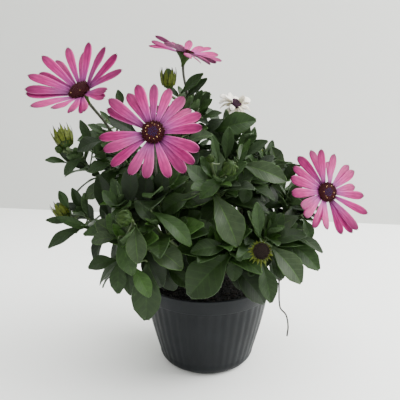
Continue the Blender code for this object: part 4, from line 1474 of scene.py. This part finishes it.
# The paler tone on the midrib is the vein's own colour; on the rim it is a painted highlight along
# the leaf's edge
palerTone = {  # of the midrib and the rim
    "deep": "dark", "dark": "full", "full": "light",
    "dull": "rib", "light": "young", "young": "rib",
}
# Shade and inner leaves, deep in the crown, are dealt the darker tones as painted shade
toneShares = {  # how often each of the first six tones is dealt to a leaf of that place
    "shade": (6, 4, 1, 0, 0, 0),
    "inner": (5, 4, 2, 1, 0, 0),
    "outer": (1, 3, 5, 3, 1, 0),
    "small": (1, 3, 4, 1, 2, 1),
    "young": (0, 0, 2, 0, 3, 4),
}
leafChance = {
    "toothed": 0.4,  # share of the leaves of the fine master
    "bends": ((-0.5, 0.5), (-0.02, 0.08), (0, 0.14), (0, 6)),  # twist, droop, wave and its phase
}


def makeLeaves():
    order = list(leafTones)
    for mass in plant:
        chance = random.Random(mass.name)
        groups = {}
        for root, tip, up, width, arch, tone, kind in mass.leaves:
            if tone in toneShares:
                tone = chance.choices(order[:6], toneShares[tone])[0]
            if kind == "fine" and chance.random() < leafChance["toothed"]:
                kind = "toothed"
            bends = [chance.uniform(*limits) for limits in leafChance["bends"]]
            copies, tones = groups.setdefault(kind, ([], []))
            copies.append(bladeCopy(kind, root, tip, up, width / 2, arch, *bends))
            # The rim takes the paler tone as a painted highlight
            edge = order.index(palerTone[tone])
            tones.append([order.index(tone), edge, edge, order.index("under")])
        groups = [(masters[kind], *group) for kind, group in groups.items()]
        piece = joinCopies("leaves_" + mass.name, groups, leafPaints, True)
        finishPiece(piece, "foliage", mass.name)


makeLeaves()
print("leaves made")


# Blossom

discLook = {
    "florets": 150,
    "size": 0.62 * mm,
    "open": 0.62,  # from this share of the disc's radius the florets are open
    "rim": (0.93, 1.15),  # and from this one they are larger
    "grain": (0.22, 0.38),  # of pollen, in mm
    "grainLift": 1.25 * mm,
    "pollen": {"front_bloom": 13, "right_bloom": 6, "top_bloom": 4, "left_bloom": 2},  # clumps
    "violet": ("front_bloom", "top_bloom", "right_bloom"),  # the discs with a violet middle
}
# Rows of bracts: count, height, radius, length, spread and width, in radii of the head
calyxBracts = [(13, -0.75, 0.32, 0.95, 0.6, 0.3), (13, -0.5, 0.5, 0.85, 0.75, 0.28)]
spentBracts = [(21, -0.15, 0.72, 0.9, 1.15, 0.36), (15, -0.3, 0.6, 0.95, 1.3, 0.36)]
shutBracts = [
    (8, -0.62, 0.6, 1.05, radians(22), 0.62),
    (8, -0.3, 0.86, 1.0, radians(-6), 0.56),
    (8, 0.1, 0.9, 1.0, radians(-32), 0.46),
    (7, 0.4, 0.7, 0.8, radians(-36), 0.4),
]
turnedRows = {  # the green cup under a head, a disc and a bud's core, as radius and height
    "cup": [(0.17, -1.6), (0.22, -1.25), (0.36, -0.9), (0.58, -0.55), (0.76, -0.25),
            (0.82, -0.05), (0.7, 0.08)],
    "dome": [(0.98, -0.1), (0.92, 0.12), (0.74, 0.26), (0.5, 0.34), (0.25, 0.36)],
    "core": [(0.22, -1), (0.5, -0.85), (0.78, -0.5), (0.85, 0), (0.78, 0.5), (0.6, 1),
             (0.38, 1.4), (0.15, 1.6)],
}


def ballMaster(name, stretch, rings):
    deselect()
    bpy.ops.mesh.primitive_uv_sphere_add(segments=6, ring_count=rings, radius=1, location=(0, 0, 0))
    made = rename(name)
    editAll()
    resize(1, 1, stretch)
    editDone()
    return masterArrays(made)


masters["floret"] = ballMaster("floret", 1.7, 4)
masters["pollen"] = ballMaster("pollen", 0.9, 3)
for name, rows in turnedRows.items():
    masters[name] = masterArrays(turned(name, rows, 24))


def onHead(head, kind, slot, lift=0.0, squash=1.0):  # a master stood on a head's axis, as a group
    side, other, way = (np.array(axis) for axis in (head.side, head.other, head.way))
    x, y, z = (masters[kind]["points"] * head.radius).T[:, :, None]
    spots = np.array(head.centre) + way * lift + x * side + y * other + z * way * squash
    return masters[kind], [spots], [[slot]]


def discPoint(head, share, turn, lift=0.0):  # a place on the dome of the disc
    radius = head.radius * 0.96 * share
    rise = head.radius * (0.12 + 0.24 * (1 - share**2)) + lift
    return head.centre + head.spoke(turn) * radius + head.way * rise


def discGroups(head, chance, slots, clumps=0):
    # The domed disc with its florets in a spiral, tight in the middle and open round it
    middle, ring, pollenSlot = slots
    florets, tones, grains = [], [], []
    for k in range(discLook["florets"]):
        share = sqrt((k + 0.5) / discLook["florets"])
        spoke = head.spoke(k * goldenTurn)
        size = discLook["size"] * (0.55 + 0.6 * share) * head.radius / (8.6 * mm)
        if share > discLook["rim"][0]:
            size *= discLook["rim"][1]
        lean = (head.way + spoke * 0.7 * share).normalized()
        side = squareTo(spoke, lean)
        spot = np.array(discPoint(head, share, k * goldenTurn))
        florets.append(masters["floret"]["points"] * size @ (side, lean.cross(side), lean) + spot)
        tones.append([middle if share < discLook["open"] * 0.7 else ring])
    for k in range(clumps):
        for _ in range(chance.choice((1, 1, 2))):
            turn = fullTurn * (k + chance.uniform(0.2, 0.8)) / clumps
            share = discLook["open"] + chance.uniform(-0.06, 0.12)
            turn += chance.uniform(-0.05, 0.05)
            spot = discPoint(head, share, turn, discLook["grainLift"])
            size = chance.uniform(*discLook["grain"]) * mm
            grains.append(masters["pollen"]["points"] * size + np.array(spot))
    pollen = masters["pollen"], grains, [[pollenSlot]] * len(grains)
    return [onHead(head, "dome", ring), (masters["floret"], florets, tones), pollen]


def bractGroup(head, rows, slot, tipSlot, chance=None):
    copies = []
    for count, height, radius, reach, spread, width in rows:
        for k in range(count):
            spoke = head.spoke(fullTurn * (k + 0.5 * (height > -0.6)) / count)
            root = head.centre + (spoke * radius + head.way * height) * head.radius
            way = spoke * sin(spread) + head.way * cos(spread)
            grown = reach
            if chance:  # ragged, and longer on the lower side
                grown *= chance.uniform(0.7, 1.25) * (1 - 0.35 * spoke.z)
                way = (way + head.way * chance.uniform(-0.3, 0.3)).normalized()
            tip = root + way * grown * head.radius
            up = spoke * cos(spread) - head.way * sin(spread)
            copies.append(bladeCopy("bract", root, tip, up, width * head.radius / 2, 0.06))
    return masters["bract"], copies, [[slot, slot, tipSlot, slot]] * len(copies)


def rayGroup(head, chance, width, shade, limp=0.0, toEye=(0, 0), ragged=0.0):
    # Rays from under the disc to their tips, with top and under as slots 0 and 1
    copies, tones = [], []
    for k, (turn, lift, reach) in enumerate(head.rays):
        spoke = head.spoke(turn)
        tip = head.centre + (spoke * cos(lift) + head.way * sin(lift)) * reach
        sunk = 0.2 * mm + 0.35 * mm * (k % 2)
        root = head.centre + spoke * head.radius * 0.72 - head.way * sunk
        sight = (view["place"] - head.centre).normalized()
        over = head.way + sight * toEye[spoke.dot(sight) > 0]
        up = squareTo(over, (tip - root).normalized())
        thin = chance.random() < ragged
        half = width / 2 * chance.uniform(*rayLook["thinWidths" if thin else "widths"])
        arch = chance.uniform(-0.02, 0.05) + ragged * chance.uniform(-0.2, 0.4)
        twist = chance.uniform(-0.35, 0.35) * (1 + 4 * ragged)
        droop = chance.uniform(-0.01, 0.05) + limp * chance.uniform(0.4, 1.3)
        wave, phase = chance.uniform(0, 0.1) + 0.5 * ragged, chance.uniform(0, 6)
        copies.append(bladeCopy("ray", root, tip, up, half, arch, twist, droop, wave, phase))
        shaded = thin or chance.random() < rayLook["shadedShare"]
        tones.append([shade if shaded else 0, 1])
    return masters["ray"], copies, tones


def calyxGroups(head):
    squash = head.size["depth"] * mm / head.radius
    return [onHead(head, "cup", 0, -0.2 * mm, squash), bractGroup(head, calyxBracts, 0, 1)]


def budGroups(head):
    # Overlapping rows of bracts on a core, shut tight in a green bud and spread in an opening one
    if head.kind in ("green bud", "small bud"):
        return [onHead(head, "core", 1, squash=0.62), bractGroup(head, shutBracts[:2], 1, 1),
                bractGroup(head, shutBracts[2:], 0, 1)]
    spread = radians((84 - head.size["cup"]) * 0.8)
    rows = [
        (10, -0.85, 0.5, 1.7, radians(10), 0.6),
        (10, -0.6, 0.8, 1.9, radians(3) + 0.5 * spread, 0.56),
        (9, -0.2, 0.84, 1.95, spread, 0.46),
    ]
    return [onHead(head, "core", 1), bractGroup(head, rows, 2, 3)]


def makeHead(name, place, head):  # the pieces of a head, and the groups of its green parts
    chance = random.Random(place + name[-1])
    disc = "disc_" + name, "blossom"
    if head.kind in ("bloom", "cup bloom"):
        toEye = rayLook["toEye"].get(name, (0, 0))
        rays = rayGroup(head, chance, head.size["width"] * mm, 2, toEye=toEye)
        blossomPiece("rays_" + name, "blossom", [rays], ("rayTop", "rayUnder", "rayShade"), True)
        slots = (0 if place in discLook["violet"] else 1, 1, 2)
        groups = discGroups(head, chance, slots, discLook["pollen"][place])
        blossomPiece(*disc, groups, ("violet", "maroon", "pollen"))
    elif head.kind == "withered":
        for turn, lift, reach in head.rays * 2:  # crumpled ones between those seen
            spin, curl = chance.uniform(-0.35, 0.35), chance.uniform(-0.5, 0.9)
            head.rays.append((turn + spin, lift + curl, reach * chance.uniform(0.5, 0.95)))
        rays = rayGroup(head, chance, 7.4 * mm, 1, 0.3, ragged=0.35)
        blossomPiece("rays_" + name, "blossom", [rays], ("creamTop", "creamUnder"), True)
        blossomPiece(*disc, discGroups(head, chance, (0, 1, 1)), ("husk", "plum"))
    elif head.kind == "spent":
        blossomPiece(*disc, discGroups(head, chance, (0, 0, 0)), ["husk"])
        return calyxGroups(head) + [bractGroup(head, spentBracts, 2, 2, chance)]
    else:
        return budGroups(head)
    return calyxGroups(head)


def makeHeads():
    greens = []
    for mass in plant:
        for k, head in enumerate(mass.heads):
            if k == 0 and mass.name in seenTips:
                head.followPhoto(seenTips[mass.name])
            greens += makeHead(f"{mass.name}_{k}", mass.name, head)
    blossomPiece("bracts", "foliage", greens, ("bract", "bractDeep", "bractPale", "bractTip"))


makeHeads()
print("blossom made")


# Stage: a pale floor, a pale wall behind and soft light

stage = {
    "floor": ("f8f9f6", 0.7),  # colour and roughness
    "wall": ("c9cac6", 0.9),
    "size": 6,
    "wallDeep": 0.624,  # straight behind the origin
    "wallTurn": radians(-10.4),
    "world": ("f2f3f2", 1.58),  # colour and strength
}
lights = {  # place, target, size in metres and power in watts
    "window": ((1.15, 0.05, 0.95), (0, 0, 0.1), (1.3, 1.0), 53),
    "ceiling": ((0.1, 0.2, 1.5), (0.1, 0.1, 0), (1.6, 1.6), 30),
}


def makeSheet(name, deep, turn):
    deselect()
    bpy.ops.mesh.primitive_plane_add(size=stage["size"], location=(0, deep, 0))
    made = rename(name)
    made.rotation_euler = turn
    colour, roughness = stage[name]
    plain = Surface("stage_" + name, Roughness=roughness, Base_Color=linear(colour))
    paint(made, plain.made)


def areaLight(name, place, target, size, power):
    lamp = bpy.data.lights.new(name, "AREA")
    lamp.shape = "RECTANGLE"
    lamp.size, lamp.size_y = size
    lamp.energy = power
    made = addObject(name, lamp)
    made.location = place
    made.rotation_euler = (Vector(target) - Vector(place)).to_track_quat("-Z", "Y").to_euler()


def makeLight():
    world = bpy.data.worlds.new("softRoom")
    bpy.context.scene.world = world
    world.use_nodes = True
    background = world.node_tree.nodes["Background"].inputs
    colour, background["Strength"].default_value = stage["world"]
    background["Color"].default_value = linear(colour)
    for name, settings in lights.items():
        areaLight(name, *settings)


makeSheet("floor", 0, (0, 0, 0))
makeSheet("wall", stage["wallDeep"], (pi / 2, 0, stage["wallTurn"]))
makeLight()
print("stage and light made")
